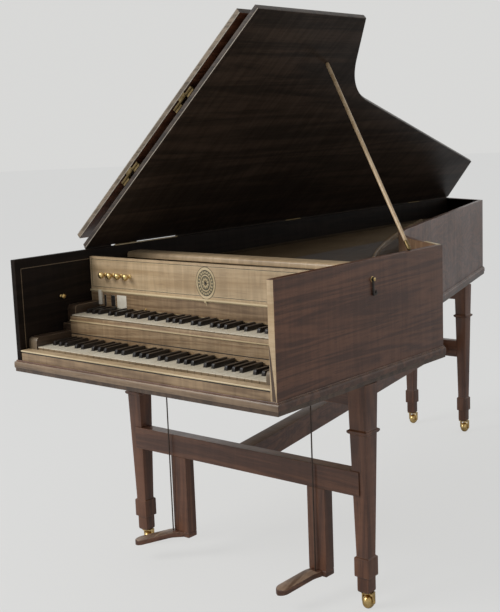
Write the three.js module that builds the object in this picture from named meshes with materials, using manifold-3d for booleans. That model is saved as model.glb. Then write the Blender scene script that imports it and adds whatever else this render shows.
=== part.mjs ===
import * as THREE from "three";
import { mergeVertices } from "three/addons/utils/BufferGeometryUtils.js";
import Module from "manifold-3d";

const wasm = await Module();
wasm.setup();

// A double-manual harpsichord of the English type, open on its stick, in millimetres with +Z up.
// It is drawn with the spine's outer face on x = 0, the case front on y = 0 and the floor on z = 0;
// +X runs to the treble and +Y to the tail. At the end the whole is centred over its footprint.

// Case
const caseWidth = 941;
const caseTop = 935;
const caseDepth = 317.5;
const caseUnderside = caseTop - caseDepth;
const bottomBoardThickness = 22.5;
const spineLength = 2428;
const cheekLength = 752;
const tailCornerShare = 0.2476;
const tailCornerX = caseWidth * tailCornerShare;
const tailCornerBack = 106;
const tailCornerY = spineLength - tailCornerBack;
const bentFrontAngle = THREE.MathUtils.degToRad(53);
const bentTailAngle = THREE.MathUtils.degToRad(17.2);
const bentCurveShare = 0.458;
const bentSteps = 12;
const spineWall = 17;
const cheekWall = 20;
const bentWall = 17;
const tailWall = 17;
const mouldingHeight = 32.5;
const mouldingProjection = 7;
const mouldingLip = 2.5;
const mouldingLipHeight = 11;
const seatGap = 0.3;
const cutOverrun = 2;

// The gap between wrestplank and belly rail, in which the registers and jacks stand
const gapBack = 508;
const lowerRegisterForward = 37;
const registerSpacing = 24;
const lowerRegisterY = gapBack - lowerRegisterForward;
const upperRegisterY = lowerRegisterY - registerSpacing;

// Keyboards: naturals and sharps from FF to f3
const naturalCount = 36;
const keyMarginLeft = 34.6;
const keyMarginRight = 37.44;
const keysLeft = spineWall + keyMarginLeft;
const keysRight = caseWidth - cheekWall - keyMarginRight;
const naturalPitch = (keysRight - keysLeft) / naturalCount;
const keyGap = 0.8;
const naturalsInOctave = 7;
const notesInOctave = 12;
const noteCount = 61;
const bassNoteCount = 36;
const sharpNoteIndexes = [1, 3, 5, 8, 10];
const sharpPlaceShares = [0.93, 2.0, 3.07, 4.93, 6.07];
const naturalNoteIndexes = [0, 2, 4, 6, 7, 9, 11];
const sharpWidth = 11;
const sharpTopWidth = 9;
const sharpHeight = 12;
const sharpNoseSlope = 5;
const naturalHeadLength = 40;
const keyStripDepth = 8;
const lowerKeyRise = 68.5;
const upperKeyRise = 140.5;
const lowerTailPastJacks = 13;
const upperTailPastJacks = 11;
const lowerManual = {
  front: 34,
  top: caseUnderside + lowerKeyRise,
  leverDepth: 22,
  balance: 250,
  tail: lowerRegisterY + lowerTailPastJacks,
  sharpBack: 157,
};
const upperManual = {
  front: 166,
  top: caseUnderside + upperKeyRise,
  leverDepth: 17,
  balance: 300,
  tail: upperRegisterY + upperTailPastJacks,
  sharpBack: 275,
};

// Key frames
const blockWidth = keysLeft - keyGap - spineWall;
const lowerBlockFront = 31;
const lowerBlockRise = 26;
const lowerBlockTop = lowerManual.top + lowerBlockRise;
const frameBehindKeys = 16;
const lowerFrameBack = lowerManual.tail + frameBehindKeys;
const lowerRailHeight = 12;
const frontRailDepth = 40;
const balanceRailDepth = 30;
const balanceRidgeWidth = 5;
const backRailDepth = 26;
const upperBlockFront = 181;
const upperBlockRise = 25;
const upperBlockTop = upperManual.top + upperBlockRise;
const upperArmHeight = 20;
const upperRailHeight = 43;
const upperRailDrop = 25;
const upperRailTop = upperManual.top - upperRailDrop;
const upperRailBottom = upperRailTop - upperRailHeight;
const upperRailFront = 160.5;
const upperRailDepth = 20;
const fasciaDrop = 4;
const fasciaTop = upperManual.top - fasciaDrop;
const fasciaThickness = 4;
const railBeadHeight = 6;
const railBeadProjection = 4;
const railBeadDrop = 8;

// Keyslip below the lower keys
const keyslipDepth = 30;
const keyslipDrop = 7;
const keyslipTop = lowerManual.top - keyslipDrop;
const slipBeadHeight = 5;
const slipGrooveHeight = 2;
const slipGrooveDepth = 3;
const slipPanelDepth = 2;

// Nameboard, stop knobs and the knob in the spine
const nameboardFront = 278;
const nameboardThickness = 12;
const nameboardDrop = 20;
const nameboardTop = caseTop - nameboardDrop;
const nameboardHeight = 150;
const nameboardBottom = nameboardTop - nameboardHeight;
const battenDrop = 97;
const battenTop = nameboardTop - battenDrop;
const battenHeight = 7;
const battenProjection = 5;
const knobDrop = 52;
const knobHeight = nameboardTop - knobDrop;
const knobPlaces = [83, 117, 151, 185];
const knobRadius = 10;
const knobReach = 26;
const knobShaftRadius = 3;
const knobShaftBehind = 26;
const knobHoleClearance = 0.5;
const knobRings = 4;
const knobFlatShare = 0.8;
const knobNeckShare = 0.45;
const knobNeckStartShare = 1.7;
const knobCollarShare = 0.7;
const knobCollarDepth = 2;
const roundSides = 12;
const smallSides = 8;
const pinSides = 6;
const knobSides = 10;
const machineKnobY = 159;
const machineKnobDrop = 123;
const machineKnobZ = caseTop - machineKnobDrop;
const machineKnobRadius = 7.5;
const machineKnobReach = 18;
const machineHoleDepth = 13;

// Wrestplank, gap, soundboard and what stands on them
const plankFront = nameboardFront + nameboardThickness + seatGap;
const plankForward = 19;
const plankBack = upperRegisterY - plankForward;
const plankDrop = 85;
const plankTop = caseTop - plankDrop;
const plankThickness = 48;
const gapBlockWidth = 20;
const nutY = 352;
const nutWidth = 12;
const nutHeight = 14;
const nutEndMargin = 24;
const registerThickness = 12;
const registerWidth = 18;
const registerPlay = 4;
const jackWidth = 12;
const jackThickness = 3.6;
const jackRise = 35;
const jackTop = plankTop + jackRise;
const jackSlotClearance = 0.5;
const jackFootGap = 0.5;
const jackStripHeight = 5;
const jackRailDrop = 23;
const jackRailTop = caseTop - jackRailDrop;
const jackRailThickness = 18;
const jackRailForward = 13;
const jackRailFront = upperRegisterY - jackRailForward;
const jackRailDepth = 68;
const bellyRailThickness = 20;
const soundboardThickness = 3.5;
const soundboardTop = plankTop;
const linerWidth = 14;
const linerHeight = 22;
const bridgeWidth = 13;
const bridgeHeight = 15;
const bridgeSteps = 16;
const bridgeTrebleInset = 54;
const bridgeTrebleX = caseWidth - bridgeTrebleInset;
const bridgeTrebleFromBelly = 36;
const bridgeBassX = 46;
const bridgeBassFromTail = 190;
const bridgeEdgeDistance = 150;

// Lid, flap, stick and hook
const lidAngle = THREE.MathUtils.degToRad(42);
const lidThickness = 16;
const lidBentOverhang = 8;
const lidTailOverhang = 9;
const flapDepth = 280;
const flapInset = 2;
const flapTrebleInset = 48;
const hingeRadius = 3;
const hingeStandOff = 0.5;
const hingeOffset = hingeRadius + hingeStandOff;
const hingePinRadius = 1.2;
const hingeBoreRadius = 1.6;
const hingeSegment = 30;
const hingeSegments = 3;
const hingePinLength = hingeSegments * hingeSegment - seatGap;
const hingeLeafThickness = 1.8;
const hingeLeafHeight = 45;
const hingePlaceShares = [0.1854, 0.5355, 0.8855];
const hingePlaces = hingePlaceShares.map((share) => share * spineLength);
const flapPinRise = 10.5;
const flapKnuckleRadius = 4;
const flapEarDepth = 12;
const flapHingePlaceShares = [0.34, 0.67];
const stickFootInset = 9;
const stickFootX = caseWidth - stickFootInset;
const stickFootForward = 160;
const stickFootY = cheekLength - stickFootForward;
const stickHeadInset = 168;
const stickHeadAlongLid = caseWidth - stickHeadInset;
const stickHeadForward = 12;
const stickHeadY = cheekLength - stickHeadForward;
const stickRadius = 5.5;
const stickSides = 10;
const stickEndRings = 3;
const hookPivotY = 400;
const hookPivotDrop = 51;
const hookPivotZ = caseTop - hookPivotDrop;
const hookPinRadius = 2.5;
const hookPinLength = 9;
const hookPinHeadRadius = 5;
const hookPinHeadLength = 2;
const hookRingRadius = 6;
const hookThickness = 3.5;
const hookArmWidth = 5;
const hookLength = 42;
const hookTipReach = 12;

// Stand
const frontLegY = 377;
const rearLegForward = 422;
const rearLegY = spineLength - rearLegForward;
const bassLegInset = 96;
const trebleLegInset = 22;
const frontLegPlaces = [bassLegInset, caseWidth - trebleLegInset];
const rearLegInset = 64;
const rearLegSpacing = 246;
const rearLegPlaces = [rearLegInset, rearLegInset + rearLegSpacing];
const frontLegWidth = 57;
const rearLegWidth = 50;
const legSides = 4;
const legAnkleShare = 0.65;
const legAnkleHeight = 152;
const legTop = caseUnderside - seatGap;
const legCollarShare = 0.7842;
const legCollarHeight = legTop * legCollarShare;
const legCollarThickness = 12;
const legCollarProjection = 6;
const footBlockTop = 148;
const footBlockBottom = 95;
const footBlockShare = 0.81;
const footEndShare = 0.63;
const legBottom = 50;
const footRound = 5;
const stretcherTopShare = 0.6222;
const stretcherHeight = 66;
const stretcherTop = legTop * stretcherTopShare;
const stretcherBottom = stretcherTop - stretcherHeight;
const stretcherForward = 27;
const stretcherFront = frontLegY - stretcherForward;
const stretcherThickness = 39;
const longStretcherWidth = 48;
const rearStretcherThickness = 34;
const topRailHeight = 60;
const topRailThickness = 36;

// Casters
const wheelRadius = 20;
const wheelWidth = 28;
const wheelRim = 8;
const wheelSteps = 16;
const axleRadius = 3;
const axleClearance = 0.4;
const forkThickness = 3.5;
const forkWallGap = 1;
const forkCrownThickness = 3.5;
const forkTrail = 8;
const forkPlateRadius = 15;
const forkCheekHalf = 5;

// Pedals
const bassPedalX = 272.5;
const treblePedalInset = 162;
const pedalPlaces = [bassPedalX, caseWidth - treblePedalInset];
const pedalBoardWidth = 58;
const pedalBoardThickness = 36;
const pedalTop = 86;
const pedalThickness = 16;
const pedalLength = 153;
const pedalToeWidth = 42;
const pedalToeDrop = 20;
const pedalFlatLength = 44;
const pedalSplays = [45, 14];
const toeRound = 20;
const rodOffsets = [-26.5, -2];
const rodPlaces = pedalPlaces.map((x, side) => x + rodOffsets[side]);
const rodRadius = 2;
const rodInFront = 8;
const rodFootGap = 0.5;
const rodAboveBoard = 4;
const rodHoleClearance = 0.6;

function finish(color, roughness, metalness = 0) {
  return new THREE.MeshStandardMaterial({ color, roughness, metalness });
}
const mahogany = finish(0x5a2f1c, 0.45);
const darkMahogany = finish(0x35190f, 0.35);
const veneer = finish(0xb08a55, 0.5);
const pine = finish(0xc9a66e, 0.7);
const spruce = finish(0xd9b981, 0.65);
const bone = finish(0xe6dcc0, 0.4);
const brass = finish(0xc9a24b, 0.3, 1);
const iron = finish(0x3c3a38, 0.5, 1);
const pearwood = finish(0xb98d62, 0.6);

const instrument = new THREE.Group();

// Turns a closed geometry into a solid that can be joined and cut.
function solidOf(geometry) {
  const bare = geometry.clone();
  bare.deleteAttribute("normal");
  bare.deleteAttribute("uv");
  const merged = mergeVertices(bare);
  const mesh = new wasm.Mesh({
    numProp: 3,
    vertProperties: merged.attributes.position.array,
    triVerts: new Uint32Array(merged.index.array),
  });
  mesh.merge();
  return new wasm.Manifold(mesh);
}

// Turns a solid back into a flat-shaded geometry.
function geometryOf(solid) {
  const mesh = solid.getMesh();
  const indexed = new THREE.BufferGeometry();
  indexed.setAttribute("position", new THREE.BufferAttribute(mesh.vertProperties, 3));
  indexed.setIndex(new THREE.BufferAttribute(mesh.triVerts, 1));
  const flat = indexed.toNonIndexed();
  flat.computeVertexNormals();
  return flat;
}

const joined = (geometries) => geometries.map(solidOf).reduce((whole, piece) => whole.add(piece));

function cut(solid, geometries) {
  return geometries.map(solidOf).reduce((whole, piece) => whole.subtract(piece), solid);
}

function block(x0, x1, y0, y1, z0, z1) {
  const geometry = new THREE.BoxGeometry(x1 - x0, y1 - y0, z1 - z0);
  return geometry.translate((x0 + x1) / 2, (y0 + y1) / 2, (z0 + z1) / 2);
}

// An outline in plan, raised from z0 to z1.
function slab(points, z0, z1, holes = []) {
  const shape = new THREE.Shape(points);
  holes.forEach((hole) => shape.holes.push(new THREE.Path(hole)));
  const geometry = new THREE.ExtrudeGeometry(shape, { depth: z1 - z0, bevelEnabled: false });
  return geometry.translate(0, 0, z0);
}

// An outline of (y, z) points, drawn out from x0 to x1.
function bar(points, x0, x1) {
  const shape = new THREE.Shape(points);
  const geometry = new THREE.ExtrudeGeometry(shape, { depth: x1 - x0, bevelEnabled: false });
  geometry.applyMatrix4(new THREE.Matrix4().set(0, 0, 1, x0, 1, 0, 0, 0, 0, 1, 0, 0, 0, 0, 0, 1));
  return geometry;
}

const point = (x, y) => new THREE.Vector2(x, y);

// A cylinder along the named axis, centred on the given place.
function rod(radius, length, axis, x, y, z, sides = roundSides) {
  const geometry = new THREE.CylinderGeometry(radius, radius, length, sides);
  if (axis === "x") geometry.rotateZ(Math.PI / 2);
  if (axis === "z") geometry.rotateX(Math.PI / 2);
  return geometry.translate(x, y, z);
}

// A turned piece about the z axis from (radius, height) points.
function turned(profile, sides) {
  const geometry = new THREE.LatheGeometry(
    profile.map(([radius, height]) => point(radius, height)),
    sides,
  );
  return geometry.rotateX(Math.PI / 2);
}

function addPiece(name, geometry, material, holder = instrument) {
  const mesh = new THREE.Mesh(geometry.isBufferGeometry ? geometry : geometryOf(geometry), material);
  mesh.name = name;
  holder.add(mesh);
  return mesh;
}

// Plan of the case

function meeting(first, second) {
  const across = first.dir.x * second.dir.y - first.dir.y * second.dir.x;
  const gap = second.at.clone().sub(first.at);
  const along = (gap.x * second.dir.y - gap.y * second.dir.x) / across;
  return first.at.clone().addScaledVector(first.dir, along);
}

// The outer side of each wall as a line that runs anticlockwise, moved inwards by its own inset.
function sideLine(at, dir, inset) {
  const inwards = point(-dir.y, dir.x);
  return { at: at.clone().addScaledVector(inwards, inset), dir };
}

function caseLines(inset) {
  const cheekEnd = point(caseWidth, cheekLength);
  const tailCorner = point(tailCornerX, tailCornerY);
  const spineEnd = point(0, spineLength);
  const bentFrontDir = point(-Math.sin(bentFrontAngle), Math.cos(bentFrontAngle));
  const bentTailDir = point(-Math.sin(bentTailAngle), Math.cos(bentTailAngle));
  return {
    cheek: sideLine(point(caseWidth, 0), point(0, 1), inset.cheek),
    bentFront: sideLine(cheekEnd, bentFrontDir, inset.bent),
    bentTail: sideLine(tailCorner, bentTailDir, inset.bent),
    tail: sideLine(tailCorner, spineEnd.clone().sub(tailCorner).normalize(), inset.tail),
    spine: sideLine(spineEnd, point(0, -1), inset.spine),
    front: sideLine(point(0, 0), point(1, 0), inset.front),
  };
}

const bentTurn = bentFrontAngle - bentTailAngle;
const outerLines = caseLines({ cheek: 0, bent: 0, tail: 0, spine: 0, front: 0 });
const bentCorner = meeting(outerLines.bentFront, outerLines.bentTail);
const bentStraight = bentCorner.distanceTo(outerLines.bentFront.at);
const bentRadius = (bentCurveShare * bentStraight) / Math.tan(bentTurn / 2);

// The bentside's hollow curve between its two straight stretches.
function bentPoints(lines, inset) {
  const corner = meeting(lines.bentFront, lines.bentTail);
  const radius = bentRadius + inset;
  const tangent = radius * Math.tan(bentTurn / 2);
  const start = corner.clone().addScaledVector(lines.bentFront.dir, -tangent);
  const outwards = point(lines.bentFront.dir.y, -lines.bentFront.dir.x);
  const centre = start.clone().addScaledVector(outwards, radius);
  const points = [];
  for (let step = 0; step <= bentSteps; step++) {
    const angle = (bentTurn * step) / bentSteps;
    points.push(start.clone().rotateAround(centre, -angle));
  }
  return points;
}

const evenly = (inset) => ({ cheek: inset, bent: inset, tail: inset, spine: inset, front: inset });

// The whole plan, anticlockwise from the front left corner.
function casePlan(inset) {
  const lines = caseLines(inset);
  return [
    meeting(lines.spine, lines.front),
    meeting(lines.front, lines.cheek),
    meeting(lines.cheek, lines.bentFront),
    ...bentPoints(lines, inset.bent),
    meeting(lines.bentTail, lines.tail),
    meeting(lines.tail, lines.spine),
  ];
}

// The same plan from a straight line at frontY backwards.
function planBehind(inset, frontY) {
  return casePlan({ ...inset, front: frontY });
}

const insideWalls = {
  cheek: cheekWall + seatGap,
  bent: bentWall + seatGap,
  tail: tailWall + seatGap,
  spine: spineWall + seatGap,
  front: 0,
};
const insideLeft = insideWalls.spine;
const insideRight = caseWidth - insideWalls.cheek;
const floorTop = caseUnderside + bottomBoardThickness;
const wallBottom = floorTop + seatGap;

// Places of the keys

const octavePitch = naturalPitch * naturalsInOctave;
const notePitch = octavePitch / notesInOctave;
const octaveOf = (note) => Math.floor(note / notesInOctave);
const noteInOctave = (note) => note % notesInOctave;
const isSharp = (note) => sharpNoteIndexes.includes(noteInOctave(note));
const octaveLeft = (note) => keysLeft + octaveOf(note) * octavePitch;
const leverCentre = (note) => octaveLeft(note) + (noteInOctave(note) + 1 / 2) * notePitch;

function sharpCentre(note) {
  const share = sharpPlaceShares[sharpNoteIndexes.indexOf(noteInOctave(note))];
  return octaveLeft(note) + share * naturalPitch;
}

function naturalLeft(note) {
  const place = naturalNoteIndexes.indexOf(noteInOctave(note));
  return octaveLeft(note) + place * naturalPitch;
}

// The sides of a key's tail in plan: a sharp keeps its own width, a natural fills what its sharps leave.
function tailSides(note) {
  const halfSharp = sharpWidth / 2;
  if (isSharp(note)) return [sharpCentre(note) - halfSharp, sharpCentre(note) + halfSharp];
  const left = naturalLeft(note) + keyGap / 2;
  const right = left + naturalPitch - keyGap;
  const afterSharp = note > 0 && isSharp(note - 1);
  const beforeSharp = note < noteCount - 1 && isSharp(note + 1);
  return [
    afterSharp ? sharpCentre(note - 1) + halfSharp + keyGap : left,
    beforeSharp ? sharpCentre(note + 1) - halfSharp - keyGap : right,
  ];
}

// One key's edge in plan, from the strip behind to its front and back again.
function keyEdge(note, manual) {
  const [tailLeft, tailRight] = tailSides(note);
  const stripFront = manual.tail - keyStripDepth;
  const headBack = manual.front + naturalHeadLength;
  if (isSharp(note)) {
    const front = headBack + keyGap;
    return [
      point(tailLeft, stripFront),
      point(tailLeft, front),
      point(tailRight, front),
      point(tailRight, stripFront),
    ];
  }
  const left = naturalLeft(note) + keyGap / 2;
  const right = left + naturalPitch - keyGap;
  const edge = [point(tailLeft, stripFront)];
  if (tailLeft > left) edge.push(point(tailLeft, headBack), point(left, headBack));
  edge.push(point(left, manual.front), point(right, manual.front));
  if (tailRight < right) edge.push(point(right, headBack), point(tailRight, headBack));
  edge.push(point(tailRight, stripFront));
  return edge;
}

// The raised part of a sharp, sloped at its nose.
function sharpHead(note, manual) {
  const centre = sharpCentre(note);
  const front = manual.front + naturalHeadLength + keyGap;
  const top = manual.top + sharpHeight;
  return bar(
    [
      point(front, manual.top - keyGap),
      point(manual.sharpBack, manual.top - keyGap),
      point(manual.sharpBack, top),
      point(front + sharpNoseSlope, top),
    ],
    centre - sharpTopWidth / 2,
    centre + sharpTopWidth / 2,
  );
}

// The keys of one stretch of a manual, held together by a strip across their tails.
function keyGroup(manual, firstNote, lastNote) {
  const outline = [];
  const heads = [];
  for (let note = firstNote; note <= lastNote; note++) {
    outline.push(...keyEdge(note, manual));
    if (isSharp(note)) heads.push(sharpHead(note, manual));
  }
  outline.push(point(outline[outline.length - 1].x, manual.tail), point(outline[0].x, manual.tail));
  return joined([slab(outline, manual.top - manual.leverDepth, manual.top), ...heads]);
}

// A rail across the frame with a narrow ridge on which the levers rock.
function balanceRail(manual, bottom) {
  const seat = manual.top - manual.leverDepth - seatGap;
  const shoulder = (bottom + seat) / 2;
  return bar(
    [
      point(manual.balance - balanceRailDepth / 2, bottom),
      point(manual.balance + balanceRailDepth / 2, bottom),
      point(manual.balance + balanceRailDepth / 2, shoulder),
      point(manual.balance + balanceRidgeWidth / 2, seat),
      point(manual.balance - balanceRidgeWidth / 2, seat),
      point(manual.balance - balanceRailDepth / 2, shoulder),
    ],
    insideLeft,
    insideRight,
  );
}

function frameSides(front, back, bottom, top) {
  return [
    block(insideLeft, insideLeft + blockWidth - seatGap, front, back, bottom, top),
    block(insideRight - (insideRight - keysRight - keyGap), insideRight, front, back, bottom, top),
  ];
}

function backRail(manual, bottom) {
  const seat = manual.top - manual.leverDepth - seatGap;
  return block(insideLeft, insideRight, manual.tail - backRailDepth, manual.tail, bottom, seat);
}

function buildLowerFrame() {
  const bottom = wallBottom;
  const pieces = [
    ...frameSides(lowerBlockFront, lowerFrameBack, bottom, lowerBlockTop),
    block(
      insideLeft,
      insideRight,
      lowerManual.front,
      lowerManual.front + frontRailDepth,
      bottom,
      bottom + lowerRailHeight,
    ),
    balanceRail(lowerManual, bottom),
    backRail(lowerManual, bottom),
  ];
  addPiece("lower_key_frame", joined(pieces), veneer);
}

function buildUpperFrame() {
  const bottom = lowerBlockTop + seatGap;
  const armTop = bottom + upperArmHeight;
  const beadTop = fasciaTop - railBeadDrop;
  const railProfile = [
    point(upperRailFront, upperRailBottom),
    point(upperRailFront + upperRailDepth, upperRailBottom),
    point(upperRailFront + upperRailDepth, upperRailTop),
    point(upperRailFront + fasciaThickness, upperRailTop),
    point(upperRailFront + fasciaThickness, fasciaTop),
    point(upperRailFront, fasciaTop),
    point(upperRailFront, beadTop),
    point(upperRailFront - railBeadProjection, beadTop),
    point(upperRailFront - railBeadProjection, beadTop - railBeadHeight),
    point(upperRailFront, beadTop - railBeadHeight),
  ];
  const pieces = [
    ...frameSides(upperRailFront, upperManual.tail, bottom, armTop),
    ...frameSides(upperBlockFront, nameboardFront - seatGap, bottom, upperBlockTop),
    bar(railProfile, keysLeft, keysRight),
    block(
      insideLeft,
      insideRight,
      upperRailFront + upperRailDepth / 2,
      upperRailFront + upperRailDepth,
      bottom,
      upperRailTop,
    ),
    balanceRail(upperManual, bottom),
    backRail(upperManual, bottom),
  ];
  addPiece("upper_key_frame", joined(pieces), veneer);
}

// Jacks of one stretch of keys, standing on the key tails and joined by a strip at their feet.
function jackGroup(manual, rowY, firstNote, lastNote) {
  const foot = manual.top + jackFootGap;
  const stripTop = foot + jackStripHeight;
  const outline = [];
  for (let note = lastNote; note >= firstNote; note--) {
    const right = leverCentre(note) + jackThickness / 2;
    const left = right - jackThickness;
    outline.push(point(right, stripTop), point(right, jackTop), point(left, jackTop), point(left, stripTop));
  }
  outline.push(point(outline[outline.length - 1].x, foot), point(outline[0].x, foot));
  const upright = slab(outline, -jackWidth / 2, jackWidth / 2);
  return upright.rotateX(Math.PI / 2).translate(0, rowY, 0);
}

// A register: a long slip with one slot for each jack, free to slide endways by its play.
function register(rowY) {
  const bottom = plankTop - registerThickness;
  const slotX = jackThickness / 2 + jackSlotClearance;
  const slotY = jackWidth / 2 + jackSlotClearance;
  const slots = [];
  for (let note = 0; note < noteCount; note++) {
    const centre = leverCentre(note);
    slots.push(
      block(
        centre - slotX,
        centre + slotX,
        rowY - slotY,
        rowY + slotY,
        bottom - cutOverrun,
        plankTop + cutOverrun,
      ),
    );
  }
  const slip = block(
    insideLeft + registerPlay,
    insideRight - registerPlay,
    rowY - registerWidth / 2,
    rowY + registerWidth / 2,
    bottom,
    plankTop,
  );
  return cut(solidOf(slip), slots);
}

function buildActions() {
  const halves = [
    ["bass", 0, bassNoteCount - 1],
    ["treble", bassNoteCount, noteCount - 1],
  ];
  const manuals = [
    ["lower", lowerManual, lowerRegisterY],
    ["upper", upperManual, upperRegisterY],
  ];
  for (const [level, manual, rowY] of manuals) {
    for (const [half, firstNote, lastNote] of halves) {
      addPiece(`${level}_keys_${half}`, keyGroup(manual, firstNote, lastNote), bone);
      addPiece(`${level}_jacks_${half}`, jackGroup(manual, rowY, firstNote, lastNote), pearwood);
    }
    addPiece(`${level}_register`, register(rowY), pearwood);
  }
}

// Case walls, floor and moulding

function hingeBarrel(axis, radius, length, x, y, z) {
  return rod(radius, length, axis, x, y, z, roundSides);
}

// The hinge segments are numbered along the pin: odd ones belong to the moving leaf.
const segmentPlace = (middle, index) => middle + (index - (hingeSegments - 1) / 2) * hingeSegment;

function spineHingeLeaf(middle) {
  const pieces = [
    block(
      -hingeLeafThickness,
      cutOverrun,
      middle - (hingeSegments * hingeSegment) / 2,
      middle + (hingeSegments * hingeSegment) / 2,
      caseTop - hingeRadius - seatGap - hingeLeafHeight,
      caseTop - hingeRadius - seatGap,
    ),
    rod(hingePinRadius, hingePinLength, "y", -hingeOffset, middle, caseTop, pinSides),
  ];
  for (let index = 0; index < hingeSegments; index += 2) {
    const place = segmentPlace(middle, index);
    pieces.push(hingeBarrel("y", hingeRadius, hingeSegment - 2 * seatGap, -hingeOffset, place, caseTop));
    pieces.push(
      block(
        -hingeOffset,
        cutOverrun,
        place - hingeSegment / 2 + seatGap,
        place + hingeSegment / 2 - seatGap,
        caseTop - hingeLeafHeight / 2,
        caseTop - seatGap,
      ),
    );
  }
  return pieces;
}

function buildWalls() {
  const outer = caseLines(evenly(0));
  const inner = caseLines({ cheek: cheekWall, bent: bentWall, tail: tailWall, spine: spineWall, front: 0 });
  const spineX = spineWall;
  const tailAtSpine = meeting(outer.tail, { at: point(spineX, 0), dir: point(0, 1) });
  const spinePlan = [point(0, 0), point(spineX, 0), tailAtSpine, meeting(outer.spine, outer.tail)];
  const spine = joined([slab(spinePlan, wallBottom, caseTop), ...hingePlaces.flatMap(spineHingeLeaf)]);
  const machineHole = rod(
    knobShaftRadius + knobHoleClearance,
    machineHoleDepth + cutOverrun,
    "x",
    spineX - (machineHoleDepth - cutOverrun) / 2,
    machineKnobY,
    machineKnobZ,
    smallSides,
  );
  addPiece("spine", cut(spine, [machineHole]), mahogany);

  const cornerOut = meeting(outer.cheek, outer.bentFront);
  const cornerIn = meeting(inner.cheek, inner.bentFront);
  const cheekPlan = [
    point(caseWidth, 0),
    point(caseWidth, cornerOut.y - seatGap),
    point(caseWidth - cheekWall, cornerIn.y - seatGap),
    point(caseWidth - cheekWall, 0),
  ];
  const hookPin = [
    rod(
      hookPinRadius,
      hookPinLength + cutOverrun,
      "x",
      caseWidth + (hookPinLength - cutOverrun) / 2,
      hookPivotY,
      hookPivotZ,
      smallSides,
    ),
    rod(
      hookPinHeadRadius,
      hookPinHeadLength,
      "x",
      caseWidth + hookPinLength - hookPinHeadLength / 2,
      hookPivotY,
      hookPivotZ,
      roundSides,
    ),
  ];
  addPiece("cheekpiece", joined([slab(cheekPlan, wallBottom, caseTop), ...hookPin]), mahogany);

  const tailOut = meeting(outer.bentTail, outer.tail);
  const tailIn = meeting(inner.bentTail, inner.tail);
  const bentPlan = [
    cornerOut,
    ...bentPoints(outer, 0),
    tailOut,
    tailIn,
    ...bentPoints(inner, bentWall).reverse(),
    cornerIn,
  ];
  addPiece("bentside", slab(bentPlan, wallBottom, caseTop), mahogany);

  const along = outer.tail.dir.clone().multiplyScalar(seatGap);
  const tailSide = { at: point(spineX + seatGap, 0), dir: point(0, 1) };
  const tailPlan = [
    tailOut.clone().add(along),
    meeting(outer.tail, tailSide),
    meeting(inner.tail, tailSide),
    tailIn.clone().add(along),
  ];
  addPiece("tailpiece", slab(tailPlan, wallBottom, caseTop), mahogany);
}

function buildFloor() {
  const holes = rodPlaces.map((x) =>
    rod(
      rodRadius + rodHoleClearance,
      bottomBoardThickness + cutOverrun,
      "z",
      x,
      rodY,
      caseUnderside + bottomBoardThickness / 2,
      smallSides,
    ),
  );
  const board = solidOf(slab(casePlan(evenly(0)), caseUnderside, floorTop));
  addPiece("bottom_board", cut(board, holes), pine);

  const mouldingTop = caseUnderside + mouldingHeight;
  const lower = slab(casePlan(evenly(-mouldingProjection + mouldingLip)), caseUnderside, mouldingTop);
  const upper = slab(casePlan(evenly(-mouldingProjection)), caseUnderside + mouldingLipHeight, mouldingTop);
  const hollow = slab(casePlan(evenly(-seatGap)), caseUnderside - cutOverrun, mouldingTop + cutOverrun);
  addPiece("base_moulding", cut(joined([lower, upper]), [hollow]), mahogany);
}

// Front boards

function buildKeyslip() {
  const front = seatGap;
  const back = keyslipDepth;
  const groove = keyslipTop - slipBeadHeight;
  const panelTop = groove - slipGrooveHeight;
  const profile = [
    point(front + slipPanelDepth, wallBottom),
    point(back, wallBottom),
    point(back, keyslipTop),
    point(front, keyslipTop),
    point(front, groove),
    point(front + slipGrooveDepth, groove),
    point(front + slipGrooveDepth, panelTop),
    point(front + slipPanelDepth, panelTop),
  ];
  addPiece("keyslip", bar(profile, insideLeft, insideRight), veneer);
}

function buildNameboard() {
  const back = nameboardFront + nameboardThickness;
  const profile = [
    point(nameboardFront, nameboardBottom),
    point(back, nameboardBottom),
    point(back, nameboardTop),
    point(nameboardFront, nameboardTop),
    point(nameboardFront, battenTop),
    point(nameboardFront - battenProjection / 2, battenTop),
    point(nameboardFront - battenProjection, battenTop - battenHeight / 2),
    point(nameboardFront - battenProjection / 2, battenTop - battenHeight),
    point(nameboardFront, battenTop - battenHeight),
  ];
  const board = solidOf(bar(profile, insideLeft, insideRight));
  const holes = knobPlaces.map((x) =>
    rod(
      knobShaftRadius + knobHoleClearance,
      nameboardThickness + cutOverrun,
      "y",
      x,
      nameboardFront + nameboardThickness / 2,
      knobHeight,
      smallSides,
    ),
  );
  addPiece("nameboard", cut(board, holes), veneer);
}

// A turned brass knob on its shaft: a flattened ball, a neck, a collar against the board and the shaft.
function knobProfile(radius, reach, shaftLength) {
  const neck = radius * knobNeckShare;
  const collar = radius * knobCollarShare;
  const points = [[0, 0]];
  for (let ring = 1; ring <= knobRings; ring++) {
    const angle = (Math.PI * ring) / (knobRings + 1);
    points.push([radius * Math.sin(angle), radius * knobFlatShare * (1 - Math.cos(angle))]);
  }
  points.push([neck, radius * knobNeckStartShare]);
  points.push([neck, reach - knobCollarDepth]);
  points.push([collar, reach - knobCollarDepth]);
  points.push([collar, reach]);
  points.push([knobShaftRadius, reach]);
  points.push([knobShaftRadius, reach + shaftLength]);
  points.push([0, reach + shaftLength]);
  return points;
}

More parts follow.
